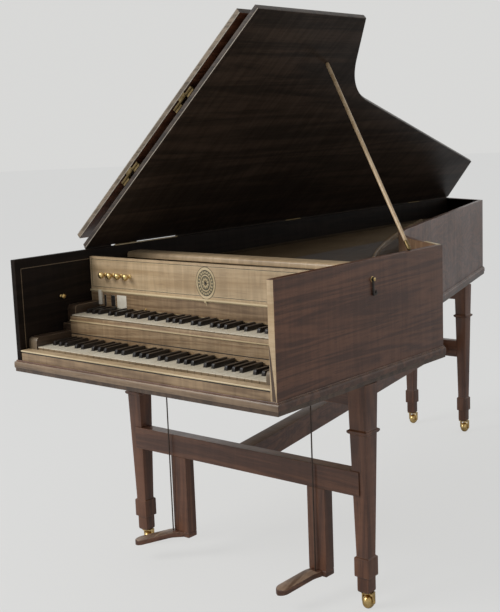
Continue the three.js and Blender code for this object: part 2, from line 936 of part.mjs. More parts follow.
function buildKnobs() {
  const shaft = nameboardThickness + knobShaftBehind;
  knobPlaces.forEach((x, i) => {
    const geometry = turned(knobProfile(knobRadius, knobReach, shaft), knobSides);
    geometry.rotateX(-Math.PI / 2);
    geometry.translate(x, nameboardFront - knobReach - seatGap, knobHeight);
    addPiece(`stop_knob_${i + 1}`, geometry, brass);
  });
  const machine = turned(
    knobProfile(machineKnobRadius, machineKnobReach, machineHoleDepth - 2 * seatGap),
    knobSides,
  );
  machine.rotateY(-Math.PI / 2);
  machine.translate(spineWall + machineKnobReach + seatGap, machineKnobY, machineKnobZ);
  addPiece("machine_stop_knob", machine, brass);
}

// Inside of the case

const linerTop = soundboardTop - soundboardThickness - seatGap;

function buildInside() {
  const plank = joined([
    block(insideLeft, insideRight, plankFront, plankBack, plankTop - plankThickness, plankTop),
    ...[insideLeft, insideRight - gapBlockWidth].map((x) =>
      block(
        x,
        x + gapBlockWidth,
        plankBack - cutOverrun,
        gapBack - seatGap,
        plankTop - plankThickness,
        plankTop - registerThickness - seatGap,
      ),
    ),
  ]);
  addPiece("wrestplank", plank, pine);
  const nut = block(
    insideLeft + nutEndMargin,
    insideRight - nutEndMargin,
    nutY - nutWidth / 2,
    nutY + nutWidth / 2,
    plankTop + seatGap,
    plankTop + nutHeight,
  );
  addPiece("nut", nut, pearwood);

  const jackRail = block(
    insideLeft,
    insideRight,
    jackRailFront,
    jackRailFront + jackRailDepth,
    jackRailTop - jackRailThickness,
    jackRailTop,
  );
  addPiece("jack_rail", jackRail, pine);

  const belly = block(insideLeft, insideRight, gapBack, gapBack + bellyRailThickness, wallBottom, linerTop);
  addPiece("belly_rail", belly, pine);

  addPiece("soundboard", slab(planBehind(insideWalls, gapBack), linerTop + seatGap, soundboardTop), spruce);

  const linerFront = gapBack + bellyRailThickness + seatGap;
  const ringOut = planBehind(insideWalls, linerFront);
  const innerInset = {
    cheek: insideWalls.cheek + linerWidth,
    bent: insideWalls.bent + linerWidth,
    tail: insideWalls.tail + linerWidth,
    spine: insideWalls.spine + linerWidth,
  };
  const ringIn = planBehind(innerInset, linerFront - cutOverrun);
  const liner = cut(solidOf(slab(ringOut, linerTop - linerHeight, linerTop)), [
    slab(ringIn, linerTop - linerHeight - cutOverrun, linerTop + cutOverrun),
  ]);
  addPiece("soundboard_liner", liner, pine);

  addPiece("bridge", bridgeGeometry(), pearwood);
}

// The bridge follows the bentside in a smooth curve from the treble to the bass.
function bridgeGeometry() {
  const lines = caseLines(insideWalls);
  const middle = bentPoints(lines, insideWalls.bent)[bentSteps / 2];
  const curve = new THREE.QuadraticBezierCurve(
    point(bridgeTrebleX, gapBack + bridgeTrebleFromBelly),
    point(middle.x - bridgeEdgeDistance, middle.y - bridgeEdgeDistance / 2),
    point(bridgeBassX, tailCornerY - bridgeBassFromTail),
  );
  const left = [];
  const right = [];
  for (let step = 0; step <= bridgeSteps; step++) {
    const at = curve.getPoint(step / bridgeSteps);
    const along = curve.getTangent(step / bridgeSteps);
    const across = point(-along.y, along.x).multiplyScalar(bridgeWidth / 2);
    left.push(at.clone().add(across));
    right.push(at.clone().sub(across));
  }
  return slab([...right, ...left.reverse()], soundboardTop + seatGap, soundboardTop + bridgeHeight);
}

// Lid and flap, drawn closed in a frame whose x axis is measured from the hinge pin

function buildLid() {
  const frame = new THREE.Group();
  frame.position.set(-hingeOffset, 0, caseTop);
  frame.rotation.y = -lidAngle;
  instrument.add(frame);

  const edges = { ...evenly(0), spine: seatGap, bent: -lidBentOverhang, tail: -lidTailOverhang };
  const plan = planBehind(edges, flapDepth);
  const pieces = [slab(plan, 0, lidThickness).translate(hingeOffset, 0, 0)];
  const bores = [];
  const leafLeft = hingeOffset + seatGap - hingeLeafThickness;
  for (const middle of hingePlaces) {
    for (let index = 1; index < hingeSegments; index += 2) {
      const place = segmentPlace(middle, index);
      pieces.push(hingeBarrel("y", hingeRadius, hingeSegment - 2 * seatGap, 0, place, 0));
      pieces.push(
        block(
          leafLeft,
          hingeOffset + cutOverrun,
          place - hingeSegment / 2 + seatGap,
          place + hingeSegment / 2 - seatGap,
          0,
          lidThickness,
        ),
      );
      bores.push(rod(hingeBoreRadius, hingeSegment + cutOverrun, "y", 0, place, 0, pinSides));
    }
  }

  // Ears on the lid's outside that carry the flap's pins
  const pinHeight = lidThickness + flapPinRise;
  const flapLeft = hingeOffset + flapInset;
  const flapRight = hingeOffset + caseWidth - flapTrebleInset;
  const flapPlaces = flapHingePlaceShares.map((share) => flapLeft + share * (flapRight - flapLeft));
  for (const middle of flapPlaces) {
    for (let index = 0; index < hingeSegments; index += 2) {
      const place = segmentPlace(middle, index);
      const from = place - hingeSegment / 2 + seatGap;
      const to = place + hingeSegment / 2 - seatGap;
      pieces.push(rod(flapKnuckleRadius, to - from, "x", place, flapDepth, pinHeight));
      const earBack = flapDepth + flapEarDepth;
      pieces.push(block(from, to, flapDepth, earBack, lidThickness - cutOverrun, pinHeight));
    }
    pieces.push(rod(hingePinRadius, hingePinLength, "x", middle, flapDepth, pinHeight, pinSides));
  }
  addPiece("lid", cut(joined(pieces), bores), darkMahogany, frame);

  const flapFrame = new THREE.Group();
  flapFrame.position.set(0, flapDepth, pinHeight);
  flapFrame.rotation.x = Math.PI;
  frame.add(flapFrame);
  const flapTop = -flapPinRise;
  const flapPieces = [block(flapLeft, flapRight, -flapDepth, -seatGap, flapTop - lidThickness, flapTop)];
  const flapBores = [];
  for (const middle of flapPlaces) {
    for (let index = 1; index < hingeSegments; index += 2) {
      const place = segmentPlace(middle, index);
      const from = place - hingeSegment / 2 + seatGap;
      const to = place + hingeSegment / 2 - seatGap;
      flapPieces.push(rod(flapKnuckleRadius, to - from, "x", place, 0, 0));
      flapPieces.push(block(from, to, -flapEarDepth, -seatGap, flapTop - cutOverrun, 0));
      flapBores.push(rod(hingeBoreRadius, hingeSegment + cutOverrun, "x", place, 0, 0, pinSides));
    }
  }
  addPiece("lid_flap", cut(joined(flapPieces), flapBores), darkMahogany, flapFrame);
}

// The stick leans from the cheek's rim to the underside of the lid, with round ends.
function buildStick() {
  const endRise = stickRadius + seatGap;
  const foot = new THREE.Vector3(stickFootX, stickFootY, caseTop + endRise);
  const head = new THREE.Vector3(
    -hingeOffset + stickHeadAlongLid * Math.cos(lidAngle) + endRise * Math.sin(lidAngle),
    stickHeadY,
    caseTop + stickHeadAlongLid * Math.sin(lidAngle) - endRise * Math.cos(lidAngle),
  );
  const length = foot.distanceTo(head);
  const geometry = new THREE.CapsuleGeometry(stickRadius, length, stickEndRings, stickSides, 1);
  const mesh = addPiece("lid_stick", geometry, pearwood);
  mesh.position.copy(foot).lerp(head, 1 / 2);
  mesh.quaternion.setFromUnitVectors(new THREE.Vector3(0, 1, 0), head.clone().sub(foot).normalize());
}

// The hook hangs from its pin on the cheek: a ring, an arm and a turned-up tip.
function buildHook() {
  const half = hookArmWidth / 2;
  const tipY = hookPivotY + hookTipReach;
  const bottom = hookPivotZ - hookLength;
  const outline = [
    point(hookPivotY - half, hookPivotZ),
    point(hookPivotY - half, bottom + half),
    point(hookPivotY, bottom),
    point(tipY, bottom),
    point(tipY + half, bottom + half),
    point(tipY + half, bottom + hookTipReach),
    point(tipY - half, bottom + hookTipReach),
    point(tipY - half, bottom + hookArmWidth),
    point(hookPivotY + half, bottom + hookArmWidth),
    point(hookPivotY + half, hookPivotZ),
  ];
  const x0 = caseWidth + (hookPinLength - hookPinHeadLength - hookThickness) / 2;
  const x1 = x0 + hookThickness;
  const ring = rod(hookRingRadius, hookThickness, "x", (x0 + x1) / 2, hookPivotY, hookPivotZ);
  const bore = rod(
    hookPinRadius + knobHoleClearance,
    hookThickness + cutOverrun,
    "x",
    (x0 + x1) / 2,
    hookPivotY,
    hookPivotZ,
    smallSides,
  );
  addPiece("lid_hook", cut(joined([bar(outline, x0, x1), ring]), [bore]), brass);
}

// Stand

function legWidthAt(topWidth, z) {
  const ankle = topWidth * legAnkleShare;
  return ankle + ((topWidth - ankle) * (z - legAnkleHeight)) / (legTop - legAnkleHeight);
}

// A square leg: tapered shaft, collar, block foot and narrower rounded end.
function legGeometry(x, y, topWidth, margin = 0) {
  const half = (width) => (width / 2 + margin) * Math.SQRT2;
  const shaft = (z) => half(legWidthAt(topWidth, z));
  const collarTop = legCollarHeight + legCollarThickness;
  const collar = half(legWidthAt(topWidth, collarTop) + 2 * legCollarProjection);
  const footBlock = half(topWidth * footBlockShare);
  const footEnd = half(topWidth * footEndShare);
  const profile = [
    [0, legBottom - margin],
    [footEnd - footRound, legBottom - margin],
    [footEnd, legBottom + footRound],
    [footEnd, footBlockBottom],
    [footBlock, footBlockBottom],
    [footBlock, footBlockTop],
    [half(topWidth * legAnkleShare), legAnkleHeight],
    [shaft(legCollarHeight), legCollarHeight],
    [collar, legCollarHeight],
    [collar, collarTop],
    [shaft(collarTop), collarTop],
    [shaft(legTop), legTop],
    [0, legTop],
  ];
  const geometry = turned(profile, legSides);
  return geometry.rotateZ(Math.PI / legSides).translate(x, y, 0);
}

function buildStand() {
  const legs = [
    ["front_left_leg", frontLegPlaces[0], frontLegY, frontLegWidth],
    ["front_right_leg", frontLegPlaces[1], frontLegY, frontLegWidth],
    ["rear_left_leg", rearLegPlaces[0], rearLegY, rearLegWidth],
    ["rear_right_leg", rearLegPlaces[1], rearLegY, rearLegWidth],
  ];
  legs.forEach(([name, x, y, width]) => addPiece(name, legGeometry(x, y, width), mahogany));
  const legCutters = legs.map(([, x, y, width]) => legGeometry(x, y, width, seatGap));

  const frontBack = stretcherFront + stretcherThickness;
  const frontStretcher = block(
    frontLegPlaces[0],
    frontLegPlaces[1],
    stretcherFront,
    frontBack,
    stretcherBottom,
    stretcherTop,
  );
  addPiece("front_stretcher", cut(solidOf(frontStretcher), legCutters), mahogany);
  const rearFront = rearLegY - rearStretcherThickness / 2;
  const rearBack = rearLegY + rearStretcherThickness / 2;
  const rearStretcher = block(
    rearLegPlaces[0],
    rearLegPlaces[1],
    rearFront,
    rearBack,
    stretcherBottom,
    stretcherTop,
  );
  addPiece("rear_stretcher", cut(solidOf(rearStretcher), legCutters), mahogany);

  const from = point((frontLegPlaces[0] + frontLegPlaces[1]) / 2, frontBack + seatGap);
  const to = point((rearLegPlaces[0] + rearLegPlaces[1]) / 2, rearFront - seatGap);
  const along = to.clone().sub(from).normalize();
  const side = longStretcherWidth / 2 / along.y;
  const longPlan = [
    point(from.x - side, from.y),
    point(from.x + side, from.y),
    point(to.x + side, to.y),
    point(to.x - side, to.y),
  ];
  addPiece("long_stretcher", slab(longPlan, stretcherBottom, stretcherTop), mahogany);

  const topRails = [
    ["front_top_rail", frontLegPlaces, frontLegY],
    ["rear_top_rail", rearLegPlaces, rearLegY],
  ];
  for (const [name, places, y] of topRails) {
    const rail = block(
      places[0],
      places[1],
      y - topRailThickness / 2,
      y + topRailThickness / 2,
      legTop - topRailHeight,
      legTop,
    );
    addPiece(name, cut(solidOf(rail), legCutters), mahogany);
  }
  buildCasters(legs);
}

// Casters: a brass horn that swivels under the leg and a wheel on its axle.
function buildCasters(legs) {
  const plateTop = legBottom - seatGap;
  const crownTop = plateTop - forkCrownThickness;
  const halfGap = wheelWidth / 2 + forkWallGap;
  const halfOut = halfGap + forkThickness;
  for (const [name, x, y] of legs) {
    const place = name.replace("_leg", "");
    const wheelY = y + forkTrail;
    const cheeks = [-halfOut, halfGap].map((side) =>
      block(
        x + side,
        x + side + forkThickness,
        wheelY - forkCheekHalf,
        wheelY + forkCheekHalf,
        wheelRadius - forkCheekHalf,
        plateTop,
      ),
    );
    const horn = joined([
      rod(forkPlateRadius, forkCrownThickness, "z", x, y, plateTop - forkCrownThickness / 2),
      block(x - halfOut, x + halfOut, y - forkPlateRadius / 2, wheelY + forkCheekHalf, crownTop, plateTop),
      ...cheeks,
      rod(axleRadius, 2 * halfOut, "x", x, wheelY, wheelRadius, smallSides),
    ]);
    addPiece(`${place}_caster_horn`, horn, brass);
    addPiece(`${place}_caster_wheel`, wheelGeometry().translate(x, wheelY, wheelRadius), brass);
  }
}

function wheelGeometry() {
  const half = wheelWidth / 2;
  const bore = axleRadius + axleClearance;
  const shoulder = wheelRadius - wheelRim;
  const profile = [
    point(bore, -half),
    point(shoulder, -half),
    point(wheelRadius, -half + wheelRim),
    point(wheelRadius, half - wheelRim),
    point(shoulder, half),
    point(bore, half),
    point(bore, -half),
  ];
  const geometry = new THREE.LatheGeometry(profile, wheelSteps);
  return geometry.rotateZ(Math.PI / 2);
}

// Pedals, the boards that carry them and their rods

const boardFront = stretcherFront;
const boardBack = boardFront + pedalBoardThickness;
const rodY = boardFront - rodInFront;

function buildPedals() {
  const sides = ["left", "right"];
  pedalPlaces.forEach((x, i) => {
    const board = block(
      x - pedalBoardWidth / 2,
      x + pedalBoardWidth / 2,
      boardFront,
      boardBack,
      pedalTop + seatGap,
      stretcherBottom - seatGap,
    );
    addPiece(`${sides[i]}_pedal_board`, board, mahogany);
    addPiece(`${sides[i]}_pedal`, pedalGeometry(x, pedalSplays[i]), mahogany);
    const rodBottom = pedalTop + rodFootGap;
    const rodTop = floorTop + rodAboveBoard;
    const middle = (rodTop + rodBottom) / 2;
    const pull = rod(rodRadius, rodTop - rodBottom, "z", rodPlaces[i], rodY, middle, smallSides);
    addPiece(`${sides[i]}_pedal_rod`, pull, iron);
  });
}

// A pedal: a heel under its board and a rounded toe, turned outwards, that slopes down to its tip.
function pedalGeometry(x, splay) {
  const half = pedalToeWidth / 2;
  const tipTop = pedalTop - pedalToeDrop;
  const side = bar(
    [
      point(-pedalLength, tipTop - pedalThickness),
      point(-pedalFlatLength, pedalTop - pedalThickness),
      point(0, pedalTop - pedalThickness),
      point(0, pedalTop),
      point(-pedalFlatLength, pedalTop),
      point(-pedalLength, tipTop),
    ],
    -half,
    half,
  );
  const shape = new THREE.Shape();
  shape.moveTo(-half, cutOverrun);
  shape.lineTo(-half, toeRound - pedalLength);
  shape.quadraticCurveTo(-half, -pedalLength, 0, -pedalLength);
  shape.quadraticCurveTo(half, -pedalLength, half, toeRound - pedalLength);
  shape.lineTo(half, cutOverrun);
  const plan = new THREE.ExtrudeGeometry(shape, { depth: pedalTop, bevelEnabled: false, curveSegments: 6 });
  const toe = solidOf(side).intersect(solidOf(plan.translate(0, 0, cutOverrun)));
  const heel = block(
    x - pedalBoardWidth / 2,
    x + pedalBoardWidth / 2,
    boardFront,
    boardBack,
    pedalTop - pedalThickness,
    pedalTop,
  );
  const placed = toe.rotate([0, 0, -splay]).translate([x, (boardFront + boardBack) / 2, 0]);
  return placed.add(solidOf(heel));
}

buildWalls();
buildFloor();
buildKeyslip();
buildLowerFrame();
buildUpperFrame();
buildActions();
buildNameboard();
buildKnobs();
buildInside();
buildLid();
buildStick();
buildHook();
buildStand();
buildPedals();

// The origin lies on the floor under the middle of the whole.
instrument.updateMatrixWorld(true);
const bounds = new THREE.Box3().setFromObject(instrument, true);
const centre = bounds.getCenter(new THREE.Vector3());
instrument.position.set(-centre.x, -centre.y, -bounds.min.z);

export default instrument;
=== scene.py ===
# %% [markdown]
# A double-manual harpsichord stands open on its trestle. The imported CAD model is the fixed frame: every
# board, key and caster already has its place there. This lesson dresses it piece by piece, so each cell
# builds one kind of piece and says how the maker would have made it.

import math

import bmesh
import bpy
from mathutils import Matrix, Vector


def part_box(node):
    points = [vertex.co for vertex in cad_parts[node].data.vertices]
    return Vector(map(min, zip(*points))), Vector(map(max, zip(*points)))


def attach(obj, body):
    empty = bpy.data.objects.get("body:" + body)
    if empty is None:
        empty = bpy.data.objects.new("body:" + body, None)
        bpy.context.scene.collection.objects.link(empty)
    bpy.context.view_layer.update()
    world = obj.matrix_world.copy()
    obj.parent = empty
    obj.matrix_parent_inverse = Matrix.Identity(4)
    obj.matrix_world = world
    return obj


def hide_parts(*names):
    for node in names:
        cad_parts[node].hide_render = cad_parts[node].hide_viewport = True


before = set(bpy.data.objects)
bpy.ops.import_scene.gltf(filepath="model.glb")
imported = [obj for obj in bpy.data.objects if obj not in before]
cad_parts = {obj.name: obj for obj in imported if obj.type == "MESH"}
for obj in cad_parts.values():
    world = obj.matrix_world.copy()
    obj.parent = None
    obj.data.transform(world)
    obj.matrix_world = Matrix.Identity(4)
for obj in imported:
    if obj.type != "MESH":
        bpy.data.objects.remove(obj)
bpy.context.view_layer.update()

# %% [markdown]
# The drawing was made in millimetres from one corner: the spine's outer face is x = 0, the case front is
# y = 0 and the floor is z = 0. The bottom board starts exactly at that corner, so its lowest corner tells
# where the drawing lies in the frame. With that one shift every number below can be the maker's number.

# %% From drawing millimetres to the frame
MM = 0.001
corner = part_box("bottom_board")[0]


def at(x, y, z):
    """A point of the drawing, in millimetres, as a point of the frame in metres."""
    return Vector((corner.x + x * MM, corner.y + y * MM, z * MM))


print("drawing corner at", [round(c, 4) for c in corner])

# %% [markdown]
# The camera stands to the player's right and looks down a little. Its place, turn and focal length were
# worked out from about ninety points of the photograph, with the width of the keys as the known size.

# %% Camera
FOCAL_PIXELS, FRAME_HEIGHT, FILM = 1090.76, 612, 36
camera_place = at(2466.0, -1893.3, 1271.5)
yaw, pitch, roll = (math.radians(a) for a in (40.13, -9.22, 2.20))
forward = Vector((-math.sin(yaw) * math.cos(pitch), math.cos(yaw) * math.cos(pitch), math.sin(pitch)))
level_right = Vector((math.cos(yaw), math.sin(yaw), 0))
level_up = level_right.cross(forward)
right = level_right * math.cos(roll) - level_up * math.sin(roll)
up = level_right * math.sin(roll) + level_up * math.cos(roll)
camera_data = bpy.data.cameras.new("photographer")
camera_data.lens = FOCAL_PIXELS / FRAME_HEIGHT * FILM
camera_data.sensor_width = FILM
camera_data.clip_end = 100
camera = bpy.data.objects.new("photographer", camera_data)
camera.matrix_world = Matrix((
    (right.x, up.x, -forward.x, camera_place.x),
    (right.y, up.y, -forward.y, camera_place.y),
    (right.z, up.z, -forward.z, camera_place.z),
    (0, 0, 0, 1),
))
bpy.context.scene.collection.objects.link(camera)
bpy.context.scene.camera = camera
print("lens", round(camera_data.lens, 2), "mm")

# %% [markdown]
# The light is a plain studio light: a broad soft lamp high on the left in front, so the fronts are clear
# and the right-hand sides fall into shade, and an even surround that fills the shadows. What the camera
# sees of the surround is a pale paper tone, which the light path picks for camera, glossy and
# transmission rays only, so the paper adds no light to the object.

# %% Light and surround
PAPER = (0.69, 0.69, 0.68)
FILL, FILL_STRENGTH = (0.95, 0.97, 1.0), 0.5
LAMP_WATTS, LAMP_SIZE = 190, (3.2, 2.4)
LAMP_PLACE, LAMP_AIM = at(-1900, -3900, 4200), at(450, 600, 800)
scene = bpy.context.scene
scene.view_settings.view_transform = "Standard"


def seen_rays(nodes, links):
    """1 for what the camera, a mirror or glass sees, 0 for light that falls on a surface."""
    path = nodes.new("ShaderNodeLightPath")
    glossy = nodes.new("ShaderNodeMath")
    glossy.operation = "MAXIMUM"
    links.new(path.outputs["Is Camera Ray"], glossy.inputs[0])
    links.new(path.outputs["Is Glossy Ray"], glossy.inputs[1])
    seen = nodes.new("ShaderNodeMath")
    seen.operation = "MAXIMUM"
    links.new(glossy.outputs[0], seen.inputs[0])
    links.new(path.outputs["Is Transmission Ray"], seen.inputs[1])
    return seen.outputs[0], path.outputs["Is Camera Ray"]


world = bpy.data.worlds.new("studio")
world.use_nodes = True
scene.world = world
nodes, links = world.node_tree.nodes, world.node_tree.links
nodes.clear()
fill = nodes.new("ShaderNodeBackground")
fill.inputs["Color"].default_value = (*FILL, 1)
fill.inputs["Strength"].default_value = FILL_STRENGTH
paper = nodes.new("ShaderNodeBackground")
paper.inputs["Color"].default_value = (*PAPER, 1)
choice = nodes.new("ShaderNodeMixShader")
seen, _ = seen_rays(nodes, links)
links.new(seen, choice.inputs[0])
links.new(fill.outputs[0], choice.inputs[1])
links.new(paper.outputs[0], choice.inputs[2])
links.new(choice.outputs[0], nodes.new("ShaderNodeOutputWorld").inputs["Surface"])

lamp_data = bpy.data.lights.new("window", "AREA")
lamp_data.shape = "RECTANGLE"
lamp_data.size, lamp_data.size_y = LAMP_SIZE
lamp_data.energy = LAMP_WATTS
lamp = bpy.data.objects.new("window", lamp_data)
lamp.location = LAMP_PLACE
lamp.rotation_euler = (LAMP_AIM - lamp.location).to_track_quat("-Z", "Y").to_euler()
scene.collection.objects.link(lamp)
print("lamp", lamp_data.energy, "W")

# %% [markdown]
# The floor is one wide disc of the same paper tone. For the camera part of its shade is a plain tone, so it
# runs into the background with only a faint horizon, and the rest takes the object's soft shadow.

# %% Floor
FLOOR_RADIUS, FLOOR_DROP = 40, 0.0005
FLOOR_TONE, PLAIN_SHARE = (0.755, 0.755, 0.745), 0.78
floor_mesh = bmesh.new()
bmesh.ops.create_circle(floor_mesh, cap_ends=True, segments=96, radius=FLOOR_RADIUS)
floor_data = bpy.data.meshes.new("floor")
floor_mesh.to_mesh(floor_data)
floor_mesh.free()
floor = bpy.data.objects.new("floor", floor_data)
floor.location = (0, 0, -FLOOR_DROP)
scene.collection.objects.link(floor)
paper_floor = bpy.data.materials.new("paper_floor")
paper_floor.use_nodes = True
nodes, links = paper_floor.node_tree.nodes, paper_floor.node_tree.links
nodes.clear()
lit = nodes.new("ShaderNodeBsdfDiffuse")
lit.inputs["Color"].default_value = (*PAPER, 1)
plain = nodes.new("ShaderNodeEmission")
plain.inputs["Color"].default_value = (*FLOOR_TONE, 1)
share = nodes.new("ShaderNodeMath")
share.operation = "MULTIPLY"
share.inputs[1].default_value = PLAIN_SHARE
_, camera_ray = seen_rays(nodes, links)
links.new(camera_ray, share.inputs[0])
blend = nodes.new("ShaderNodeMixShader")
links.new(share.outputs[0], blend.inputs[0])
links.new(lit.outputs[0], blend.inputs[1])
links.new(plain.outputs[0], blend.inputs[2])
links.new(blend.outputs[0], nodes.new("ShaderNodeOutputMaterial").inputs["Surface"])
floor_data.materials.append(paper_floor)
print("floor radius", FLOOR_RADIUS, "m")

# %% [markdown]
# Real wood shows four things at once: broad growth bands, fine fibres along the board, small dark pores
# and, in a figured veneer, a curl across the grain. All four come from noise that is stretched along the
# board. They go into one node group, which every wooden material uses with its own colours and stretch.
# The group puts out a colour, a height for the bump and a mask that varies the gloss.

# %% Node group: wood grain


def new_group(name, inputs, outputs):
    """A shader node group with typed sockets, and its input and output nodes."""
    group = bpy.data.node_groups.new(name, "ShaderNodeTree")
    for label, kind, value in inputs:
        socket = group.interface.new_socket(name=label, in_out="INPUT", socket_type=kind)
        if value is not None:
            socket.default_value = value
    for label, kind in outputs:
        group.interface.new_socket(name=label, in_out="OUTPUT", socket_type=kind)
    return group, group.nodes.new("NodeGroupInput"), group.nodes.new("NodeGroupOutput")


def math_node(tree, operation, *values):
    """A math node in the tree. Each value is a number or the socket it comes from."""
    node = tree.nodes.new("ShaderNodeMath")
    node.operation = operation
    for i, value in enumerate(values):
        if isinstance(value, bpy.types.NodeSocket):
            tree.links.new(value, node.inputs[i])
        else:
            node.inputs[i].default_value = value
    return node.outputs[0]


def vector_math(tree, operation, first, second):
    node = tree.nodes.new("ShaderNodeVectorMath")
    node.operation = operation
    for i, value in enumerate((first, second)):
        if isinstance(value, bpy.types.NodeSocket):
            tree.links.new(value, node.inputs[i])
        else:
            node.inputs[i].default_value = value
    return node.outputs["Value" if operation == "DOT_PRODUCT" else "Vector"]


def noise(tree, vector, scale, detail=3.0, rough=0.55, distortion=0.0):
    node = tree.nodes.new("ShaderNodeTexNoise")
    tree.links.new(vector, node.inputs["Vector"])
    node.inputs["Scale"].default_value = scale
    node.inputs["Detail"].default_value = detail
    node.inputs["Roughness"].default_value = rough
    node.inputs["Distortion"].default_value = distortion
    return node.outputs["Fac"]


def mapped(tree, value, low, high, to_low=0.0, to_high=1.0, smooth=True):
    """The value moved from one range to another and kept inside it."""
    node = tree.nodes.new("ShaderNodeMapRange")
    node.interpolation_type = "SMOOTHSTEP" if smooth else "LINEAR"
    tree.links.new(value, node.inputs["Value"])
    for label, number in (("From Min", low), ("From Max", high), ("To Min", to_low), ("To Max", to_high)):
        node.inputs[label].default_value = number
    return node.outputs["Result"]


def mixed(tree, share, first, second, how="MIX"):
    node = tree.nodes.new("ShaderNodeMix")
    node.data_type = "RGBA"
    node.blend_type = how
    for socket, value in ((node.inputs[0], share), (node.inputs[6], first), (node.inputs[7], second)):
        if isinstance(value, bpy.types.NodeSocket):
            tree.links.new(value, socket)
        else:
            socket.default_value = value
    return node.outputs[2]


grain_group, given, result = new_group(
    "wood_grain",
    [("Vector", "NodeSocketVector", None), ("Stretch", "NodeSocketVector", (30, 30, 2)),
     ("Figure Stretch", "NodeSocketVector", (4, 4, 60)), ("Figure", "NodeSocketFloat", 0.2),
     ("Bands", "NodeSocketFloat", 5.0), ("Pores", "NodeSocketFloat", 0.5),
     ("Dark", "NodeSocketColor", (0.1, 0.04, 0.02, 1)), ("Light", "NodeSocketColor", (0.2, 0.09, 0.05, 1))],
    [("Color", "NodeSocketColor"), ("Height", "NodeSocketFloat"), ("Gloss", "NodeSocketFloat")],
)
along = vector_math(grain_group, "MULTIPLY", given.outputs["Vector"], given.outputs["Stretch"])
broad = noise(grain_group, along, 0.35, 4.0, 0.6, 0.6)
rings = math_node(grain_group, "PINGPONG", math_node(grain_group, "MULTIPLY", broad, given.outputs["Bands"]),
                  0.5)
rings = math_node(grain_group, "MULTIPLY", rings, 2.0)
fibres = noise(grain_group, along, 5.0, 5.0, 0.7)
pore_field = noise(grain_group, along, 14.0, 2.0, 0.5)
pores = math_node(grain_group, "MULTIPLY", mapped(grain_group, pore_field, 0.60, 0.70),
                  given.outputs["Pores"])
curl_place = vector_math(grain_group, "MULTIPLY", given.outputs["Vector"], given.outputs["Figure Stretch"])
curl = mapped(grain_group, noise(grain_group, curl_place, 1.0, 2.0, 0.5, 0.8), 0.32, 0.68)
tone = math_node(grain_group, "ADD", math_node(grain_group, "MULTIPLY", rings, 0.5),
                 math_node(grain_group, "MULTIPLY", fibres, 0.5))
base = mixed(grain_group, mapped(grain_group, tone, 0.15, 0.85), given.outputs["Dark"],
             given.outputs["Light"])
curl_share = math_node(grain_group, "MULTIPLY", curl, given.outputs["Figure"])
curled = mixed(grain_group, curl_share, base, (0.45, 0.42, 0.40, 1), "MULTIPLY")
with_pores = mixed(grain_group, pores, curled, (0.25, 0.20, 0.18, 1), "MULTIPLY")
height = math_node(grain_group, "SUBTRACT", math_node(grain_group, "MULTIPLY", fibres, 0.6), pores)
grain_group.links.new(with_pores, result.inputs["Color"])
grain_group.links.new(height, result.inputs["Height"])
grain_group.links.new(math_node(grain_group, "ADD", math_node(grain_group, "MULTIPLY", curl, 0.4),
                                math_node(grain_group, "MULTIPLY", pores, 0.6)), result.inputs["Gloss"])
print("wood_grain:", len(grain_group.nodes), "nodes")

# %% [markdown]
# Two centuries of hands and dusters rub the arrises of a case pale. The bevel node turns the normal near an
# edge, so the difference from the true normal marks a thin band along every edge, inside and out. Noise
# breaks the band up, because wear is never an even line. A second group gives slow stains and fine
# scratches, which stop a large board from looking printed.

# %% Node groups: worn edges, and stains with scratches
wear_group, given, result = new_group(
    "worn_edges",
    [("Vector", "NodeSocketVector", None), ("Width", "NodeSocketFloat", 0.0015),
     ("Amount", "NodeSocketFloat", 0.7)],
    [("Mask", "NodeSocketFloat")],
)
turned_normal = wear_group.nodes.new("ShaderNodeBevel")
turned_normal.samples = 4
wear_group.links.new(given.outputs["Width"], turned_normal.inputs["Radius"])
true_normal = wear_group.nodes.new("ShaderNodeNewGeometry")
same = vector_math(wear_group, "DOT_PRODUCT", turned_normal.outputs["Normal"], true_normal.outputs["Normal"])
edge = mapped(wear_group, math_node(wear_group, "SUBTRACT", 1.0, same), 0.01, 0.16)
rubbed = mapped(wear_group, noise(wear_group, given.outputs["Vector"], 28.0, 4.0, 0.65), 0.38, 0.62)
worn = math_node(wear_group, "MULTIPLY", math_node(wear_group, "MULTIPLY", edge, rubbed),
                 given.outputs["Amount"])
wear_group.links.new(worn, result.inputs["Mask"])

stain_group, given, result = new_group(
    "stains_and_scratches",
    [("Vector", "NodeSocketVector", None), ("Strength", "NodeSocketFloat", 0.3)],
    [("Tint", "NodeSocketColor"), ("Scratches", "NodeSocketFloat"), ("Cloud", "NodeSocketFloat")],
)
cloud = mapped(stain_group, noise(stain_group, given.outputs["Vector"], 3.2, 5.0, 0.6, 0.4), 0.30, 0.72)
cloud_share = math_node(stain_group, "MULTIPLY", cloud, given.outputs["Strength"])
tint = mixed(stain_group, cloud_share, (1, 1, 1, 1), (0.42, 0.40, 0.38, 1))
fine = vector_math(stain_group, "MULTIPLY", given.outputs["Vector"], (260.0, 18.0, 200.0))
scratches = mapped(stain_group, noise(stain_group, fine, 1.0, 2.0, 0.5, 1.5), 0.66, 0.74)
stain_group.links.new(tint, result.inputs["Tint"])
stain_group.links.new(scratches, result.inputs["Scratches"])
stain_group.links.new(cloud, result.inputs["Cloud"])
print("worn_edges and stains_and_scratches ready")

# %% [markdown]
# A wooden material places these groups round one shader. The stretch says which way the board's fibres
# run, because a leg's grain stands up while a stretcher's lies along the floor. Gloss and the thin shellac
# coat are plain numbers on the shader itself.

# %% Wooden materials
ALONG = {"x": (2.0, 34.0, 34.0), "y": (34.0, 2.0, 34.0), "z": (34.0, 34.0, 2.0)}
ACROSS = {"x": (55.0, 5.0, 5.0), "y": (5.0, 55.0, 5.0), "z": (5.0, 5.0, 55.0)}


